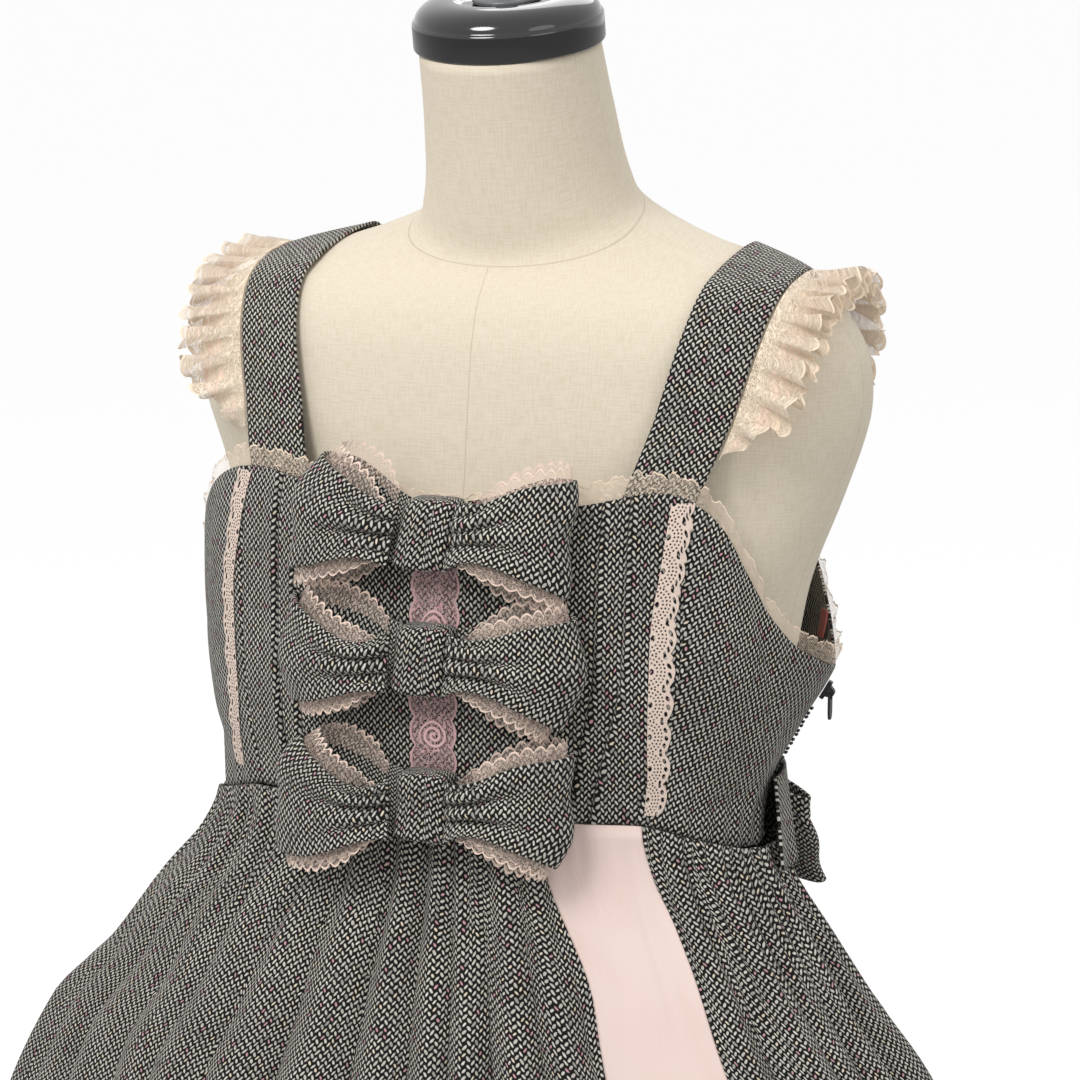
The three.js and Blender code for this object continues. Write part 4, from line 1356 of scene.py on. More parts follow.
@dataclass
class Bodice:
    """The fitted bodice: four panels, with two pressed tucks each side of the front."""

    tuck_turns: tuple[float, float] = (28.5, 33.5)
    tuck_height: float = 1.7
    tuck_turn: float = 3.6
    seam_turn: float = 0.08

    def panel(self, start: float, end: float, detail: Place | None = None) -> Place:
        """Surface of a panel between two turns, from the waist seam to the top edge.

        Args:
            start: First turn.
            end: Last turn.
            detail: Millimetres that the cloth stands out at a turn and a level.

        Returns:
            The surface.
        """

        def place(u: Numbers, v: Numbers) -> Numbers:
            turn = mix(start, end, u)
            return bodice_point(turn, mix(waist_level(turn) + SEAM, top_level(turn), v))

        def height(u: Numbers, v: Numbers) -> Numbers:
            turn = mix(start, end, u)
            level = mix(waist_level(turn), top_level(turn), v)
            soft = 0.55 * np.sin(turn * 0.17 + 1.3) * np.sin(level * 0.055 + turn * 0.05)
            pull = 0.5 * np.sin(turn * 0.9 + 0.02 * level) * ease((1078 - level) / 40)
            seam_dip = -0.9 * np.exp(-((np.minimum(u, 1 - u) * abs(end - start) / 0.5) ** 2))
            hem_dip = -0.7 * np.exp(-(((level - waist_level(turn)) / 2.0) ** 2))
            extra = detail(turn, level) if detail else 0.0
            return soft + pull + seam_dip + hem_dip + extra

        return moved_out(place, height)

    def tucks(self, turn: Numbers, level: Numbers) -> Numbers:
        """Height of the pressed tucks: a sharp fold that slopes away from the centre."""
        out = np.zeros_like(turn)
        for centre in self.tuck_turns:
            past = (np.abs(turn) - centre) / self.tuck_turn
            rise = ease((past + 0.09) / 0.09)
            out += self.tuck_height * rise * np.clip(1 - np.maximum(past, 0), 0, 1) ** 1.3
            out -= 0.8 * np.exp(-(((past + 0.12) / 0.12) ** 2))
        return out

    def build(self) -> None:
        """Builds the four panels."""
        seam, front = self.seam_turn, PANEL_SEAM_TURN
        creases = [
            Crease((0.25, 0.95), (0.55, 0.6), 7, 1.2),
            Crease((0.6, 0.75), (0.9, 0.45), 8, 1.4),
            Crease((0.3, 0.12), (0.7, 0.3), 6, 1.1),
            Crease((0.75, 0.1), (0.95, 0.35), 5, 0.9),
        ]
        left = self.panel(front + seam, ZIP_TURN - seam)
        right = self.panel(-ZIP_TURN + seam, -front - seam)
        size = (140.0, 110.0)
        back_creases = [
            Crease((0.15, 0.2), (0.35, 0.55), 8, 1.6),
            Crease((0.6, 0.65), (0.85, 0.3), 8, 1.6),
            Crease((0.4, 0.12), (0.62, 0.2), 6, 1.3),
        ]
        back = self.panel(ZIP_TURN + seam, 360 - ZIP_TURN - seam)
        panels = [
            ("bodice_front", self.panel(-front, front, self.tucks), 230, 52),
            ("bodice_side_left", creased(left, creases, size), 104, 48),
            ("bodice_side_right", creased(right, swapped(creases), size), 104, 48),
            ("bodice_back", creased(back, back_creases, (420.0, 160.0)), 230, 46),
        ]
        for node, place, columns, rows in panels:
            sheet = Sheet(node + "_cloth", place, columns, rows, Finish.TWEED)
            sheet.wear(node, "hung")


def swapped(creases: Sequence[Crease]) -> list[Crease]:
    """A side panel's creases as the panel on the other side has them."""
    return [
        replace(c, start=(1 - c.start[0], c.start[1]), end=(1 - c.end[0], c.end[1]))
        for c in creases
    ]


def scallops(length: Numbers, pitch: float, seed: float = 0.0) -> Numbers:
    """Crowns of a lace edge, from 0 in the notch to 1, each a little different."""
    which = np.floor(length / pitch)
    crown = np.abs(np.sin(np.pi * length / pitch)) ** 0.7
    return crown * (0.75 + 0.25 * scatter(which, seed))


def edge_lengths(width: float, side: int) -> Callable[[Grid], tuple[Numbers, Numbers]]:
    """Lengths for lace that runs up the grid.

    Args:
        width: The lace's width.
        side: 1 where its free edge is towards the wearer's left, and -1 for the right.

    Returns:
        The lengths along the lace and in from its free edge.
    """
    return lambda g: (g.along, (1 - g.u if side > 0 else g.u) * width)


@dataclass
class BodiceLace:
    """Lace of the bodice: edging along its top, two narrow trims and the rose-pink insert."""

    edging_height: float = 11.0
    edging_pitch: float = 9.4
    trim_width: float = 14.0
    centre_width: float = 25.0
    cut_in: float = 3.2
    girth_per_turn: float = 2.7

    def edging(self, start: float, end: float) -> Place:
        """Surface of the edging, which stands on the top edge with its scallops up."""
        reach = (end - start) * self.girth_per_turn

        def place(u: Numbers, v: Numbers) -> Numbers:
            turn, run = mix(start, end, u), u * reach
            uneven = 0.55 + 0.45 * scatter(np.floor(run / self.edging_pitch))
            broad = scallops(run, self.edging_pitch, 7.0) * uneven
            height = self.edging_height * (0.56 + 0.14 * scallops(run, 3.3, 2.0) + 0.42 * broad)
            point = bodice_point(turn, top_level(turn) + 0.4 + v * height)
            flute = 1.2 * np.sin(run * 0.33) * v + 0.7 * np.sin(run * 0.81) * v
            return point + away_from_middle(point) * (flute + 0.5)[..., None]

        return place

    def strip(
        self, centre: Callable[[Numbers], Numbers], width: float, edges: tuple[float, float]
    ) -> Place:
        """Surface of lace sewn flat down the bodice.

        Args:
            centre: Turn of its middle at a level.
            width: Its width.
            edges: How deep its right and left edges are scalloped.

        Returns:
            The surface.
        """
        top = float(top_level(centre(np.array(1200.0)))) - 2.0
        foot = float(waist_level(np.array(0.0))) + 4.0
        pitch = 14.5 if all(edges) else ClunyLace.repeat

        def place(u: Numbers, v: Numbers) -> Numbers:
            level = mix(foot, top, v)
            crown = scallops(level, pitch, 3.0)
            side = u - 0.5
            cut = np.where(side > 0, edges[1], edges[0]) * (1 - crown)
            across = side * width - np.sign(side) * cut * np.abs(side) * 2
            return bodice_point(centre(level) + across / self.girth_per_turn, level)

        return moved_out(place, LACE_OUT + 0.2)

    def build(self) -> None:
        """Builds the five laces."""
        edgings = (
            ("edging_front", -ZIP_TURN, ZIP_TURN, 900),
            ("edging_back", ZIP_TURN + 0.4, 360 - ZIP_TURN - 0.4, 620),
        )
        for node, start, end, columns in edgings:
            sheet = Sheet(
                node + "_net", self.edging(start, end), columns, 10, Finish.EDGE_LACE, 0.0,
                lengths=lambda g: (g.across, (1 - g.v) * self.edging_height * 0.9),
            )
            sheet.wear(node, "hung")

        width, cut = self.trim_width, self.cut_in
        left = self.strip(lambda z: TRIM_TURN.at("left", z), width, (0.0, cut))
        right = self.strip(lambda z: -TRIM_TURN.at("right", z), width, (cut, 0.0))
        trims = (("lace_trim_left", left, 1), ("lace_trim_right", right, -1))
        for node, place, side in trims:
            sheet = Sheet(
                node + "_cluny", place, 10, 150, Finish.CLUNY, 0.0,
                lengths=edge_lengths(self.trim_width, side),
            )
            sheet.wear(node, "laid")
        centre = self.strip(np.zeros_like, self.centre_width, (cut, cut))
        sheet = Sheet(
            "centre_lace_net", centre, 14, 150, Finish.ROSE_LACE, 0.0,
            lengths=lambda g: (g.along - 10.2, (g.u - 0.5) * self.centre_width),
        )
        sheet.wear("centre_lace", "laid")


@dataclass
class Straps:
    """The shoulder straps and the gathered lace along their outer edges."""

    width: float = 35.0
    front_at: float = 101.0
    back_at: float = 96.0
    top_at: dict[int, float] = field(default_factory=lambda: {1: 127.0, -1: 122.0})
    lift: float = 1.0
    bulge: tuple[float, float] = (2.0, 21.0)
    flat: float = 0.45
    behind: tuple[float, float] = (4.4, 1.0)
    lean_power: float = 2.5
    end_levels: tuple[float, float] = (1216.0, 1201.0)
    tuck: float = 7.0
    ruffle_width: float = 33.0
    ruffle_run: float = 700.0
    ruffle_pitch: float = 8.5
    roll: float = 0.0105
    waves: int = 17

    def shoulder_level(self, x: Numbers) -> Numbers:
        """Level where the form's shoulder is as wide as a place across it."""
        low, high = np.full_like(x, 1262.0), np.full_like(x, NECK_TOP)
        for _ in range(30):
            level = (low + high) / 2
            wider = FORM.at("half", level) > np.abs(x)
            low, high = np.where(wider, level, low), np.where(wider, high, level)
        return low

    def strap(self, side: int) -> Place:
        """Surface of a strap, from the front's top edge over the shoulder to the back's.

        Args:
            side: 1 for the wearer's left and -1 for the right.

        Returns:
            The surface.
        """

        def place(u: Numbers, v: Numbers) -> Numbers:
            swing = (v - 0.5) * np.pi
            front = v < 0.5
            end = np.abs(v - 0.5) * 2
            foot = np.where(front, self.front_at, self.back_at)
            centre = mix(self.top_at[side], foot, end**self.lean_power)
            x = centre + side * (u - 0.5) * self.width
            top = self.shoulder_level(x)
            end_level = np.where(front, *self.end_levels) - self.tuck
            level = mix(end_level, top, np.cos(swing))
            half, fore, back, mid, lean = FORM.read("half front back mid lean", level)
            inside = np.sqrt(np.maximum(0, 1 - (x / half) ** 2))
            deep = np.where(front, -(fore + mid), back - mid)
            point = np.stack([side * x, mid + deep * inside, level], axis=-1)
            point[..., 2] += lean * (point[..., 1] - mid)
            bulge = np.where(front, self.bulge[0], self.bulge[1] * end)
            away = self.lift + bulge * np.sin(np.pi * end)
            point[..., 1] += np.sin(swing) * away
            point[..., 2] += np.cos(swing) * away
            centre_front = bodice_depth(side * centre, level, True)
            on_front = mix(bodice_depth(side * x, level, True), centre_front, self.flat)
            on_back = bodice_depth(side * x, level, False)
            wall = SEAM + TWEED_THICKNESS
            tucked_back = on_back - wall - self.behind[1]
            tucked = np.where(front, on_front + wall + self.behind[0], tucked_back)
            point[..., 1] = mix(point[..., 1], tucked, ease((end - 0.42) / 0.5))
            return point

        return place

    def ruffle(self, side: int) -> Place:
        """Surface of the gathered lace, which falls outwards off the strap in rolled flutes."""
        strap = self.strap(side)

        def place(u: Numbers, v: Numbers) -> Numbers:
            out = u if side > 0 else 1.0 - u
            phase = 2 * np.pi * self.waves * v + 1.1 * np.sin(9 * v + side)
            ends = ease(np.minimum(v, 1 - v) / 0.12)
            roll = -self.roll * out**1.3 * np.sin(2 * phase) * ends
            along = np.clip(0.065 + 0.87 * v + roll, 0.0, 1.0)
            edge = strap(np.full_like(v, 1.0 if side > 0 else 0.0), along)
            swing = (along - 0.5) * np.pi
            outward = np.stack([np.zeros_like(v), np.sin(swing), np.cos(swing)], axis=-1)
            crown = scallops(v * self.ruffle_run, self.ruffle_pitch, 4.0)
            width = 5 + (self.ruffle_width - 5) * ends
            width = width * (0.88 + 0.12 * crown) + 1.5 * np.sin(1.7 * phase) * ends
            small = 0.8 * np.sin(phase * 2.7 + 1.0) * out * ends
            lift = 1.4 + 7.4 * out**1.2 * np.sin(phase) + 5.6 * out + small
            point = edge.copy()
            point[..., 0] += side * (SEAM + 1.5 + 0.9 * out * width)
            point[..., 2] -= 0.42 * out * width
            return point + outward * (0.08 * out * width + lift)[..., None]

        return place

    def build(self) -> None:
        """Builds both straps and both ruffles."""
        for word, side in SIDES:
            sheet = Sheet(f"strap_{word}_cloth", self.strap(side), 16, 96, Finish.TWEED)
            sheet.wear(f"strap_{word}", "draped")
            sheet = Sheet(
                f"ruffle_{word}_net", self.ruffle(side), 16, 620, Finish.LACE, 0.0,
                lengths=edge_lengths(self.ruffle_width, side),
            )
            sheet.wear(f"strap_ruffle_{word}", "gathered")


@dataclass(frozen=True)
class Pleat:
    """A gather that runs out from a bow's knot: its v at the knot and at its end."""

    knot: float
    end: float
    reach: float
    depth: float
    width: float


@dataclass
class BowLoop:
    """One loop of a bow: the cloth runs out in front, folds and comes back behind.

    Attributes:
        reach: How far it runs out from the centre.
        rise: How far its end lies above the knot.
        gape_up: How far the front layer's upper edge draws back from the back layer's.
        gape_low: The same for the lower edge.
        slant_up: How far the end's upper corner draws in.
        slant_low: The same for the lower corner.
        lean: How far it leans out for each millimetre up.
        lace_show: How far the lace shows past the cloth's edges.
    """

    level: float
    reach: float
    rise: float
    puff: float
    height: float
    ground: Callable[[Numbers, Numbers], Numbers]
    gape_up: float = 0.0
    gape_low: float = 0.0
    slant_up: float = 0.0
    slant_low: float = 0.0
    lean: float = 0.0
    lace_show: float = 8.5
    pinch: float = 15.6
    knot_height: float = 16.0
    pleats: tuple[Pleat, ...] = ()
    seed: float = 0.0

    def surface(self, hem: float = 0.0) -> Place:
        """Surface of the loop for the wearer's left.

        Args:
            hem: How far it is wider than the cloth at each edge, for the lace inside.

        Returns:
            The surface.
        """
        start = math.radians(24)
        tip = (1 - math.cos(start)) / 2

        def place(u: Numbers, v: Numbers) -> Numbers:
            angle = mix(start, 2 * math.pi - start, u)
            run = ((1 - np.cos(angle)) / 2 - tip) / (1 - tip)
            tall = mix(self.knot_height, self.height, ease(run * 1.25))
            offset = (2 * v - 1) * (tall + hem * ease(run * 2.4))
            slant = np.where(v > 0.5, self.slant_up, self.slant_low) * (offset / tall) ** 2
            x = mix(self.pinch + self.lean * offset, self.reach - slant, run)
            front = ease((np.sin(angle) + 0.35) / 0.7)
            arch = np.sin(np.pi * np.clip(run, 0, 1)) ** 0.8 * front
            offset += self.gape_low * arch * (1 - v) ** 1.6
            offset -= self.gape_up * arch * v**1.6
            bend = 1 - 0.2 * np.minimum((offset / tall) ** 2, 1.6) * run
            round_out = np.sign(np.sin(angle)) * np.abs(np.sin(angle)) ** 0.85
            forward = self.puff * (1 + round_out * bend) + 1.5
            for pleat in self.pleats:
                line = mix(pleat.knot, pleat.end, np.clip(run / pleat.reach, 0, 1))
                wide = pleat.width * (1 + 0.7 * run)
                fade = ease(1.05 - run / pleat.reach) * ease(run * 9 + 0.35)
                dent = np.exp(-(((v - line) / wide) ** 2)) - 0.45 * np.exp(
                    -(((v - line - 1.7 * wide) / wide) ** 2)
                )
                forward -= pleat.depth * dent * fade * front
            wander = np.sin(run * 5 + v * 3 + self.seed) * 0.9 * run * front
            z = self.level + self.rise * run + offset
            edge = 1.5 * np.sin(v * 9 + self.seed) * ease(run * 3 - 2)
            return np.stack([x + edge, self.ground(x, z) - forward - wander, z], axis=-1)

        return place

    def lace(self) -> Place:
        """Surface of the lace inside the loop, with scalloped edges past the cloth's."""
        whole = moved_out(self.surface(self.lace_show), -(2 * SEAM + LACE))

        def place(u: Numbers, v: Numbers) -> Numbers:
            length = u * 2.1 * self.reach
            crown = scallops(length, 7.4, 6.0 + self.seed)
            notch = 3.0 * (1 - crown) / (2 * self.height)
            inside = mix(notch, 1 - notch, v)
            return whole(mix(0.07, 0.93, u), inside)

        return place


def squared(angle: Numbers, power: float) -> tuple[Numbers, Numbers]:
    """Sine and cosine of an angle, pushed out from a circle towards a square."""
    s, c = np.sin(angle), np.cos(angle)
    reach = (np.abs(s) ** power + np.abs(c) ** power) ** (-1 / power)
    return s * reach, c * reach


@dataclass
class Knot:
    """The band round a bow's middle, a soft flat block that turns in at top and bottom.

    Attributes:
        lean: How far it leans to the wearer's left for each millimetre up.
        squareness: How square it is seen from the side and from above, where 2 is round.
    """

    level: float
    width: float
    depth: float
    height: float
    ground: Callable[[Numbers, Numbers], Numbers]
    lean: float = 0.0
    squareness: tuple[float, float] = (6.5, 4.6)

    def place(self, u: Numbers, v: Numbers) -> Numbers:
        """Surface all round the knot, from its foot to its top."""
        h, round_in = squared(mix(-np.pi / 2, np.pi / 2, v), self.squareness[0])
        side, deep = squared(mix(-np.pi, np.pi, u), self.squareness[1])
        rise = h * self.height
        z = self.level + rise
        folds = 0.55 * np.sin(side * 6.5 + 1.2) + 0.4 * np.sin(side * 13.0 + h * 1.4)
        for at, size in ((-0.58, 1.5), (0.12, 1.1), (0.66, 1.3)):
            folds += size * np.exp(-(((side - at - 0.06 * h) / 0.09) ** 2))
        fold = folds * (1 - 0.7 * h * h) * (deep > 0) * ease(round_in * 1.6)
        y = self.ground(np.zeros_like(z), z) - self.depth * (1 + deep * round_in) + fold
        waist = 0.93 + 0.07 * h * h
        x = self.width * side * waist * round_in + self.lean * rise
        return np.stack([x, y, z], axis=-1)

    def build(self, node: str, turn: Callable[[Place], Place] = lambda place: place) -> None:
        """Builds the knot.

        Args:
            node: The node that it stands for.
            turn: Turns its surface round where it faces the back.
        """
        place = turn(self.place)
        Sheet(f"{node}_cloth", place, 72, 30, Finish.TWEED, 0.0, closed=True).wear(node)


# Level of each front bow, and how far it leans out for each millimetre up
BOWS = {"bow_top": (1195, 0.13), "bow_middle": (1134, 0.08), "bow_bottom": (1061, 0.03)}
LOOP_COLUMNS = (
    "reach", "rise", "puff", "height", "gape_up", "gape_low", "slant_up", "slant_low"
)
LOOPS = {
    "bow_top_left": (70, 0.9, 12, 27.4, 1, 12, 0, 1),
    "bow_top_right": (74.5, 4.5, 12, 28.5, 4, 8, 13, 0),
    "bow_middle_left": (77.5, -2.6, 12, 27, 4, 12, 3, 9),
    "bow_middle_right": (80, -0.9, 12, 26.4, 12, 3, 9, 5),
    "bow_bottom_left": (72, 3, 13, 28, 2, 12, 0, 5),
    "bow_bottom_right": (84, -2, 13, 30, 12, 1, 17, 5),
}
PLEATS = {
    "bow_top_left": (
        Pleat(0.56, 0.66, 0.72, 6.2, 0.075), Pleat(0.36, 0.24, 0.98, 6.6, 0.09),
        Pleat(0.82, 0.9, 0.45, 3.0, 0.06),
    ),
    "bow_top_right": (
        Pleat(0.46, 0.3, 1.0, 7.2, 0.09), Pleat(0.68, 0.86, 0.75, 5.4, 0.08),
        Pleat(0.2, 0.1, 0.5, 3.4, 0.06),
    ),
    "bow_middle_left": (
        Pleat(0.34, 0.12, 0.98, 7.0, 0.09), Pleat(0.64, 0.52, 0.75, 5.6, 0.08),
        Pleat(0.84, 0.88, 0.4, 3.0, 0.06),
    ),
    "bow_middle_right": (
        Pleat(0.58, 0.66, 0.95, 6.6, 0.08), Pleat(0.3, 0.26, 0.85, 6.0, 0.08),
        Pleat(0.12, 0.14, 0.4, 2.6, 0.06),
    ),
    "bow_bottom_left": (
        Pleat(0.62, 0.7, 0.85, 6.8, 0.08), Pleat(0.34, 0.2, 0.95, 6.8, 0.08),
        Pleat(0.84, 0.94, 0.5, 3.6, 0.06),
    ),
    "bow_bottom_right": (
        Pleat(0.52, 0.62, 0.9, 6.8, 0.085), Pleat(0.74, 0.9, 0.6, 4.6, 0.06),
        Pleat(0.26, 0.16, 0.7, 4.6, 0.07),
    ),
}
BACK_PLEATS = (
    Pleat(0.35, 0.3, 0.9, 4.0, 0.08), Pleat(0.66, 0.74, 0.8, 3.4, 0.07),
    Pleat(0.15, 0.2, 0.5, 2.2, 0.05),
)


@dataclass
class FrontBows:
    """The three bows down the front, each of two loops, their lace and a knot."""

    slope: float = 0.2
    seam_level: float = 1061.0

    def ground(self, x: Numbers, level: Numbers) -> Numbers:
        """Outer face of the bodice's laces, and of the skirt's gathers below the seam."""
        below = np.maximum(0, (self.seam_level - level) * self.slope)
        return bodice_depth(x, level, True) - LACE_OUT - LACE - SEAM - below

    def loops(self) -> list[tuple[str, int, BowLoop]]:
        """Each loop with its name and its side, from the top bow down."""
        grounds = {1: self.ground, -1: lambda x, z: self.ground(-x, z)}
        made = []
        for bow, (level, lean) in BOWS.items():
            for word, side in SIDES:
                name = f"{bow}_{word}"
                loop = BowLoop(
                    level=level,
                    ground=grounds[side],
                    lean=side * lean,
                    pleats=PLEATS[name],
                    seed=0.5 + 1.3 * len(made),
                    **dict(zip(LOOP_COLUMNS, LOOPS[name])),
                )
                made.append((name, side, loop))
        return made

    def build(self) -> None:
        """Builds the loops, their lace and the knots."""
        for name, side, loop in self.loops():
            cloth = loop.surface()
            lace = loop.lace()
            if side < 0:
                cloth, lace = mirrored(cloth), mirrored(lace)
            sheet = Sheet(
                name + "_cloth", cloth, 84, 34, Finish.TWEED,
                lengths=lambda g: (evened(g.across, g.u), evened(g.along, g.v)),
            )
            sheet.wear(name, "folded")
            node = name.replace("_left", "_lace_left").replace("_right", "_lace_right")
            tall = 2 * (loop.height + loop.lace_show)
            sheet = Sheet(
                node + "_net", lace, 220, 26, Finish.BOW_LACE, 0.0,
                lengths=lambda g, t=tall: (
                    g.across + 40 * (g.v > 0.5), np.minimum(g.v, 1 - g.v) * t
                ),
            )
            sheet.wear(node, "folded")
        for name, (level, lean) in BOWS.items():
            Knot(level, 15, 9.6, 17.0, self.ground, lean).build(f"{name}_knot")


@dataclass
class Skirt:
    """The gathered skirt: four tweed panels and the satin inset on the wearer's left.

    Attributes:
        edges: Turns where panels meet, at the waist and at the hem, and how soon they get there.
    """

    rows: int = 78
    gap: float = 0.02
    edges: dict[str, tuple[float, float, float]] = field(
        default_factory=lambda: {
            "front_to_satin": (21.5, 28.8, 6.6),
            "satin_to_side": (45.2, 48.8, 12.0),
            "side_to_back_left": (140.0, 144.0, 2.2),
            "side_to_back_right": (-140.0, -144.0, 2.2),
            "front_to_side_right": (-44.0, -38.0, 2.2),
            "back_end": (220.0, 216.0, 2.2),
        }
    )

    def edge(self, name: str, drop: Numbers) -> Numbers:
        """Turn of a panel's edge at a drop from the waist to the hem."""
        waist, hem, ramp = self.edges[name]
        return mix(waist, hem, ease(np.minimum(drop * ramp, 1)))

    def panel(self, start: str, end: str) -> Place:
        """Surface of the panel between two edges."""

        def place(u: Numbers, v: Numbers) -> Numbers:
            drop = 1 - v
            turn = mix(self.edge(start, drop) + self.gap, self.edge(end, drop) - self.gap, u)
            return skirt_point(turn, mix(HEM_LEVEL, waist_level(turn) - SEAM, v), fine=True)

        return place

    def crests(self, start: str, end: str) -> Callable[[Numbers], Numbers]:
        """The u of each fold's crest at each v of a panel."""

        def places(v: Numbers) -> Numbers:
            drop = 1 - v
            first, last = self.edge(start, drop), self.edge(end, drop)
            rows = []
            for fold in SKIRT_FOLDS:
                turn = mix(fold.waist, fold.hem, np.minimum(drop * 3, 1))
                middle = (first + last) / 2
                turn = middle + wrapped(turn - middle)
                rows.append((turn - first) / (last - first))
            table = np.stack(rows, axis=1)
            near = (table[0] > -0.06) & (table[0] < 1.06)
            return table[:, near]

        return places

    def build(self) -> None:
        """Builds the panels."""
        panels = (
            ("skirt_front", "front_to_side_right", "front_to_satin", 210, Finish.TWEED),
            ("satin_inset", "front_to_satin", "satin_to_side", 44, Finish.SATIN),
            ("skirt_side_left", "satin_to_side", "side_to_back_left", 250, Finish.TWEED),
            ("skirt_side_right", "side_to_back_right", "front_to_side_right", 250, Finish.TWEED),
            ("skirt_back", "side_to_back_left", "back_end", 230, Finish.TWEED),
        )
        for node, start, end, columns, finish in panels:
            satin = finish is Finish.SATIN
            sheet = Sheet(
                node + "_cloth",
                self.panel(start, end),
                columns,
                self.rows,
                finish,
                SATIN_THICKNESS if satin else TWEED_THICKNESS,
                crests=None if satin else self.crests(start, end),
            )
            sheet.wear(node, "gathered")


@dataclass
class BackTie:
    """The sash halves and the bow that they make at the back.

    Attributes:
        start: Turn of each half's start, by the side of the wearer.
        end: Turn of both halves' ends.
        out: How far the sash lies off the cloth below it.
        raised: How much further the right half does so at its start.
    """

    start: dict[int, float] = field(default_factory=lambda: {1: 88.0, -1: 106.0})
    end: float = 178.5
    low: float = 1016.0
    high: float = 1064.0
    out: float = 5.0
    raised: float = 1.6
    level: float = 1030.0
    knot_height: float = 20.0
    tail_length: float = 235.0

    def sash(self, side: int) -> Place:
        """Surface of one half of the sash, from the side seam to the centre back."""

        def place(u: Numbers, v: Numbers) -> Numbers:
            back = u if side > 0 else 1 - u
            turn = side * mix(self.start[side], self.end, back)
            share = 0.5 + (v - 0.5) * (1 - 0.35 * ease((back - 0.55) / 0.45))
            low = skirt_point(turn, np.full_like(turn, self.low))
            high = bodice_point(turn, np.full_like(turn, self.high))
            point = mix(low, high, share[..., None])
            outward = away_from_middle(point)
            soft = 1.1 * np.sin(v * 8 + back * 3) * ease((back - 0.2) / 0.6)
            raised = 0.0 if side > 0 else self.raised * (1 - ease(back))
            point += outward * (self.out + raised + soft)[..., None]
            point[..., 2] = mix(self.low, self.high, share)
            return point

        return place

    def reach(self, x: Numbers, level: Numbers) -> Numbers:
        """Outermost depth of the back's cloth, under the bow and its tails."""

        def skirt_depth(at: Numbers) -> Numbers:
            half = np.where(x > 0, SKIRT.at("left", at), SKIRT.at("right", at))
            across = np.clip(x / half, -1, 1)
            folds = 25.0 * fold_growth(at, waist_level(np.array(180.0)))
            mid, back = SKIRT.at("mid", at), SKIRT.at("back", at)
            return mid + (back - mid) * np.sqrt(1 - across**2) + folds

        share = np.clip((level - self.low) / (self.high - self.low), 0, 1)
        high = np.full_like(level, self.high)
        sash = mix(skirt_depth(np.full_like(level, self.low)), bodice_depth(x, high, False), share)
        skirt = skirt_depth(np.minimum(level, self.low))
        under = np.where(level > self.low - 4, np.maximum(skirt, sash + self.out), skirt)
        return under + TWEED_THICKNESS + SEAM

    def tail(self, side: int) -> Place:
        """Surface of one tail, made facing the front."""

        def place(u: Numbers, v: Numbers) -> Numbers:
            drop = 1 - v
            level = self.level - self.knot_height - 3 * SEAM - self.tail_length * drop
            x = 4 + 30 * drop + u * mix(18.0, 44.0, drop)
            away = mix(5.5, 4.0, ease(drop)) + 1.6 * np.sin(drop * 7) * drop * (u - 0.3)
            depth = -self.reach(side * x, level) - away
            return np.stack([x, depth, level - 12 * drop * u], axis=-1)

        return place

    def build(self) -> None:
        """Builds the sash, the loops, the tails and the knot."""
        for word, side in SIDES:
            loop = BowLoop(
                self.level, reach=129, rise=-34, puff=13, height=27, pinch=16.3, knot_height=18,
                ground=lambda x, z, s=side: -self.reach(s * x * 0.6, z),
                pleats=BACK_PLEATS, seed=2.0 + side,
            )
            tail = self.tail(side)
            flat = loop.surface()
            if side > 0:
                flat, tail = mirrored(flat), mirrored(tail)
            pieces = (
                (f"sash_{word}", self.sash(side), 90, 14),
                (f"back_bow_{word}", turned_back(flat), 90, 32),
                (f"back_tail_{word}", turned_back(tail), 16, 80),
            )
            for node, place, columns, rows in pieces:
                sheet = Sheet(node + "_cloth", place, columns, rows, Finish.TWEED)
                sheet.wear(node, "hung")
        knot = Knot(self.level, 16, 12, self.knot_height, lambda x, z: 1.6 - self.reach(x, z))
        knot.build("back_bow_knot", turned_back)


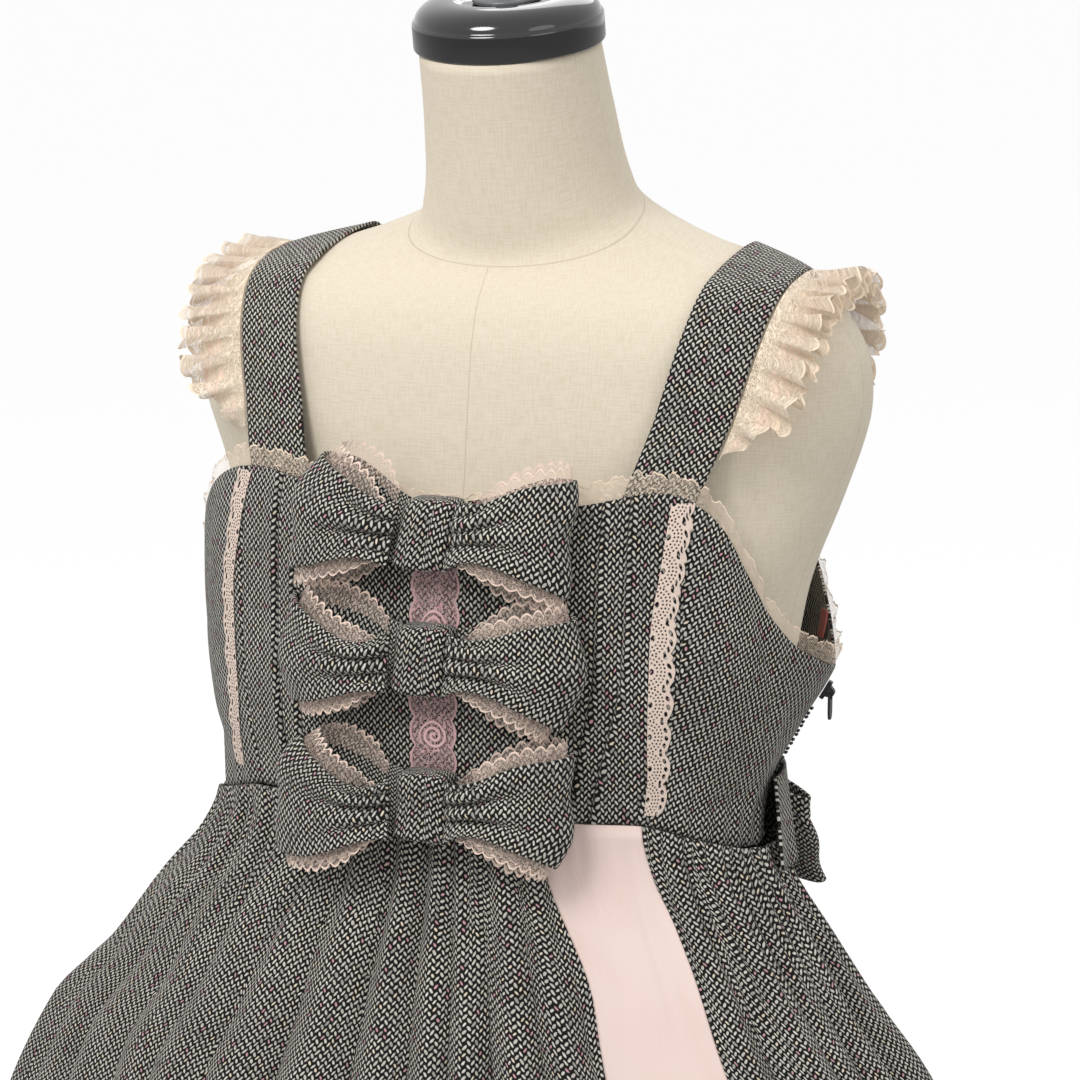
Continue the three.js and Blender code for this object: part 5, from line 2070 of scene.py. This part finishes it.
@dataclass
class Fittings:
    """The side zip's closed teeth, its slider and pull tab, and the hanger ribbon."""

    tooth_pitch: float = 2.2
    foot: float = 1034.0
    top: float = 1097.0
    ribbon_turns: tuple[float, float] = (113.0, 116.5)
    ribbon_levels: tuple[float, float] = (1122.0, 1137.0)

    def build_teeth(self) -> None:
        """Builds the closed teeth down the side seam as one joined piece."""
        count = int((self.top - self.foot) / self.tooth_pitch)
        levels = self.foot + self.tooth_pitch * (np.arange(count) + 0.5)
        places = bodice_point(np.full(count, ZIP_TURN), levels)
        outward = Vector((places[0][0], places[0][1] + 20, 0)).normalized()
        bm = bmesh.new()
        for k, place in enumerate(places):
            side = 0.6 if k % 2 else -0.6
            middle = Vector(place) + outward * (TWEED_THICKNESS + 0.5)
            spin = Matrix.Rotation(math.atan2(outward.y, outward.x), 4, "Z")
            size = Matrix.Diagonal((1.3 * MM, 2.6 * MM, 1.3 * MM, 1))
            shift = Matrix.Translation((0, side * MM, 0))
            at = Matrix.Translation(middle * MM) @ spin @ shift @ size
            made = bmesh.ops.create_cube(bm, size=1.0, matrix=at)
            edges = {edge for vert in made["verts"] for edge in vert.link_edges}
            bmesh.ops.bevel(
                bm, geom=list(edges), offset=0.25 * MM, segments=1, profile=0.5,
                affect="EDGES", material=-1,
            )
        join_dress(finished(bm, "zip_teeth", Finish.ZIP, 0.0), Finish.ZIP)

    def ribbon_place(self, u: Numbers, v: Numbers) -> Numbers:
        """Surface of the ribbon, flat inside the back."""
        return bodice_point(mix(*self.ribbon_turns, u), mix(*self.ribbon_levels, v))

    def build(self, nodes: dict[str, bpy.types.Object]) -> None:
        """Builds the teeth and the ribbon, and dresses the slider and the tab.

        Args:
            nodes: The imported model's nodes.
        """
        self.build_teeth()
        for name in ("zip_slider", "pull_tab"):
            mesh = nodes[name].data
            mesh.materials.clear()
            mesh.materials.append(Finish.ZIP.material())
        inside = moved_out(self.ribbon_place, -(LACE + 2.4))
        sheet = Sheet("hanger_ribbon_cloth", inside, 10, 16, Finish.RIBBON, LACE)
        sheet.wear("hanger_ribbon", "hung")


@dataclass
class Studio:
    """A pale floor, soft studio light, and the camera at the photograph's angle.

    Attributes:
        floor_tones: The floor's tone as it lights the dress, and as the camera sees it.
        sky_strengths: The same for the world's light.
    """

    azimuth: float = 22.5
    elevation: float = 11.6
    distance: float = 1.7
    target: tuple[float, float, float] = (0.005, 0.0, 1.168)
    lens: float = 109.4
    floor_tones: tuple[float, float] = (0.5, 1.25)
    sky_strengths: tuple[float, float] = (0.78, 1.05)

    def direction(self, azimuth: float, elevation: float) -> Vector:
        """Unit vector from the object towards a place round it, from angles in degrees."""
        a, e = math.radians(azimuth), math.radians(elevation)
        return Vector((math.sin(a) * math.cos(e), -math.cos(a) * math.cos(e), math.sin(e)))

    def place_camera(self) -> None:
        """Places the camera."""
        data = bpy.data.cameras.new("camera")
        data.lens = self.lens
        data.sensor_width = 36.0
        data.clip_end = 200.0
        camera = bpy.data.objects.new("camera", data)
        towards = self.direction(self.azimuth, self.elevation)
        camera.location = Vector(self.target) + towards * self.distance
        camera.rotation_euler = towards.to_track_quat("Z", "Y").to_euler()
        bpy.context.scene.collection.objects.link(camera)
        bpy.context.scene.camera = camera

    def place_light(
        self, name: str, azimuth: float, elevation: float, away: float, size: float, watts: float
    ) -> None:
        """Places one soft box that faces the dress.

        Args:
            name: The light's name.
            azimuth: Its azimuth in degrees.
            elevation: Its elevation in degrees.
            away: Its distance in metres.
            size: Its width in metres.
            watts: Its power.
        """
        data = bpy.data.lights.new(name, "AREA")
        data.shape = "DISK"
        data.size = size
        data.energy = watts
        light = bpy.data.objects.new(name, data)
        towards = self.direction(azimuth, elevation)
        light.location = Vector((0, 0, 1.1)) + towards * away
        light.rotation_euler = towards.to_track_quat("Z", "Y").to_euler()
        bpy.context.scene.collection.objects.link(light)

    def build(self) -> None:
        """Builds the floor, the light and the camera."""
        bm = bmesh.new()
        bmesh.ops.create_circle(bm, cap_ends=True, segments=96, radius=60.0)
        mesh = bpy.data.meshes.new("floor")
        bm.to_mesh(mesh)
        bm.free()
        floor = bpy.data.objects.new("floor", mesh)
        bpy.context.scene.collection.objects.link(floor)
        material, add = new_material("pale_floor")
        seen = add("LightPath", output="Is Camera Ray")
        tone = add("MapRange", seen, 0.0, 1.0, *self.floor_tones)
        add("OutputMaterial", add("BsdfDiffuse", add("CombineXYZ", tone, tone, tone)))
        mesh.materials.append(material)
        world = bpy.data.worlds.new("studio")
        world.use_nodes = True
        sky = world.node_tree
        sky.nodes["Background"].inputs[0].default_value = (1.0, 1.0, 1.0, 1.0)
        seen = add_node(sky, "LightPath", output="Is Camera Ray")
        strength = add_node(sky, "MapRange", seen, 0.0, 1.0, *self.sky_strengths)
        sky.links.new(strength, sky.nodes["Background"].inputs[1])
        bpy.context.scene.world = world
        self.place_light("key", -14.0, 42.0, 2.6, 1.0, 30.0)
        self.place_light("fill", 62.0, 18.0, 3.2, 1.8, 8.0)
        self.place_light("back", 190.0, 40.0, 3.0, 1.6, 10.0)
        bpy.context.scene.view_settings.view_transform = "Standard"
        self.place_camera()


def main() -> None:
    """Builds the studio, the form and the dress."""
    logging.basicConfig(level=logging.INFO, format="%(message)s")
    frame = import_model()
    Studio().build()
    DressForm().build()
    Bodice().build()
    BodiceLace().build()
    Straps().build()
    FrontBows().build()
    Skirt().build()
    BackTie().build()
    Fittings().build(frame["nodes"])


if __name__ == "__main__":
    main()
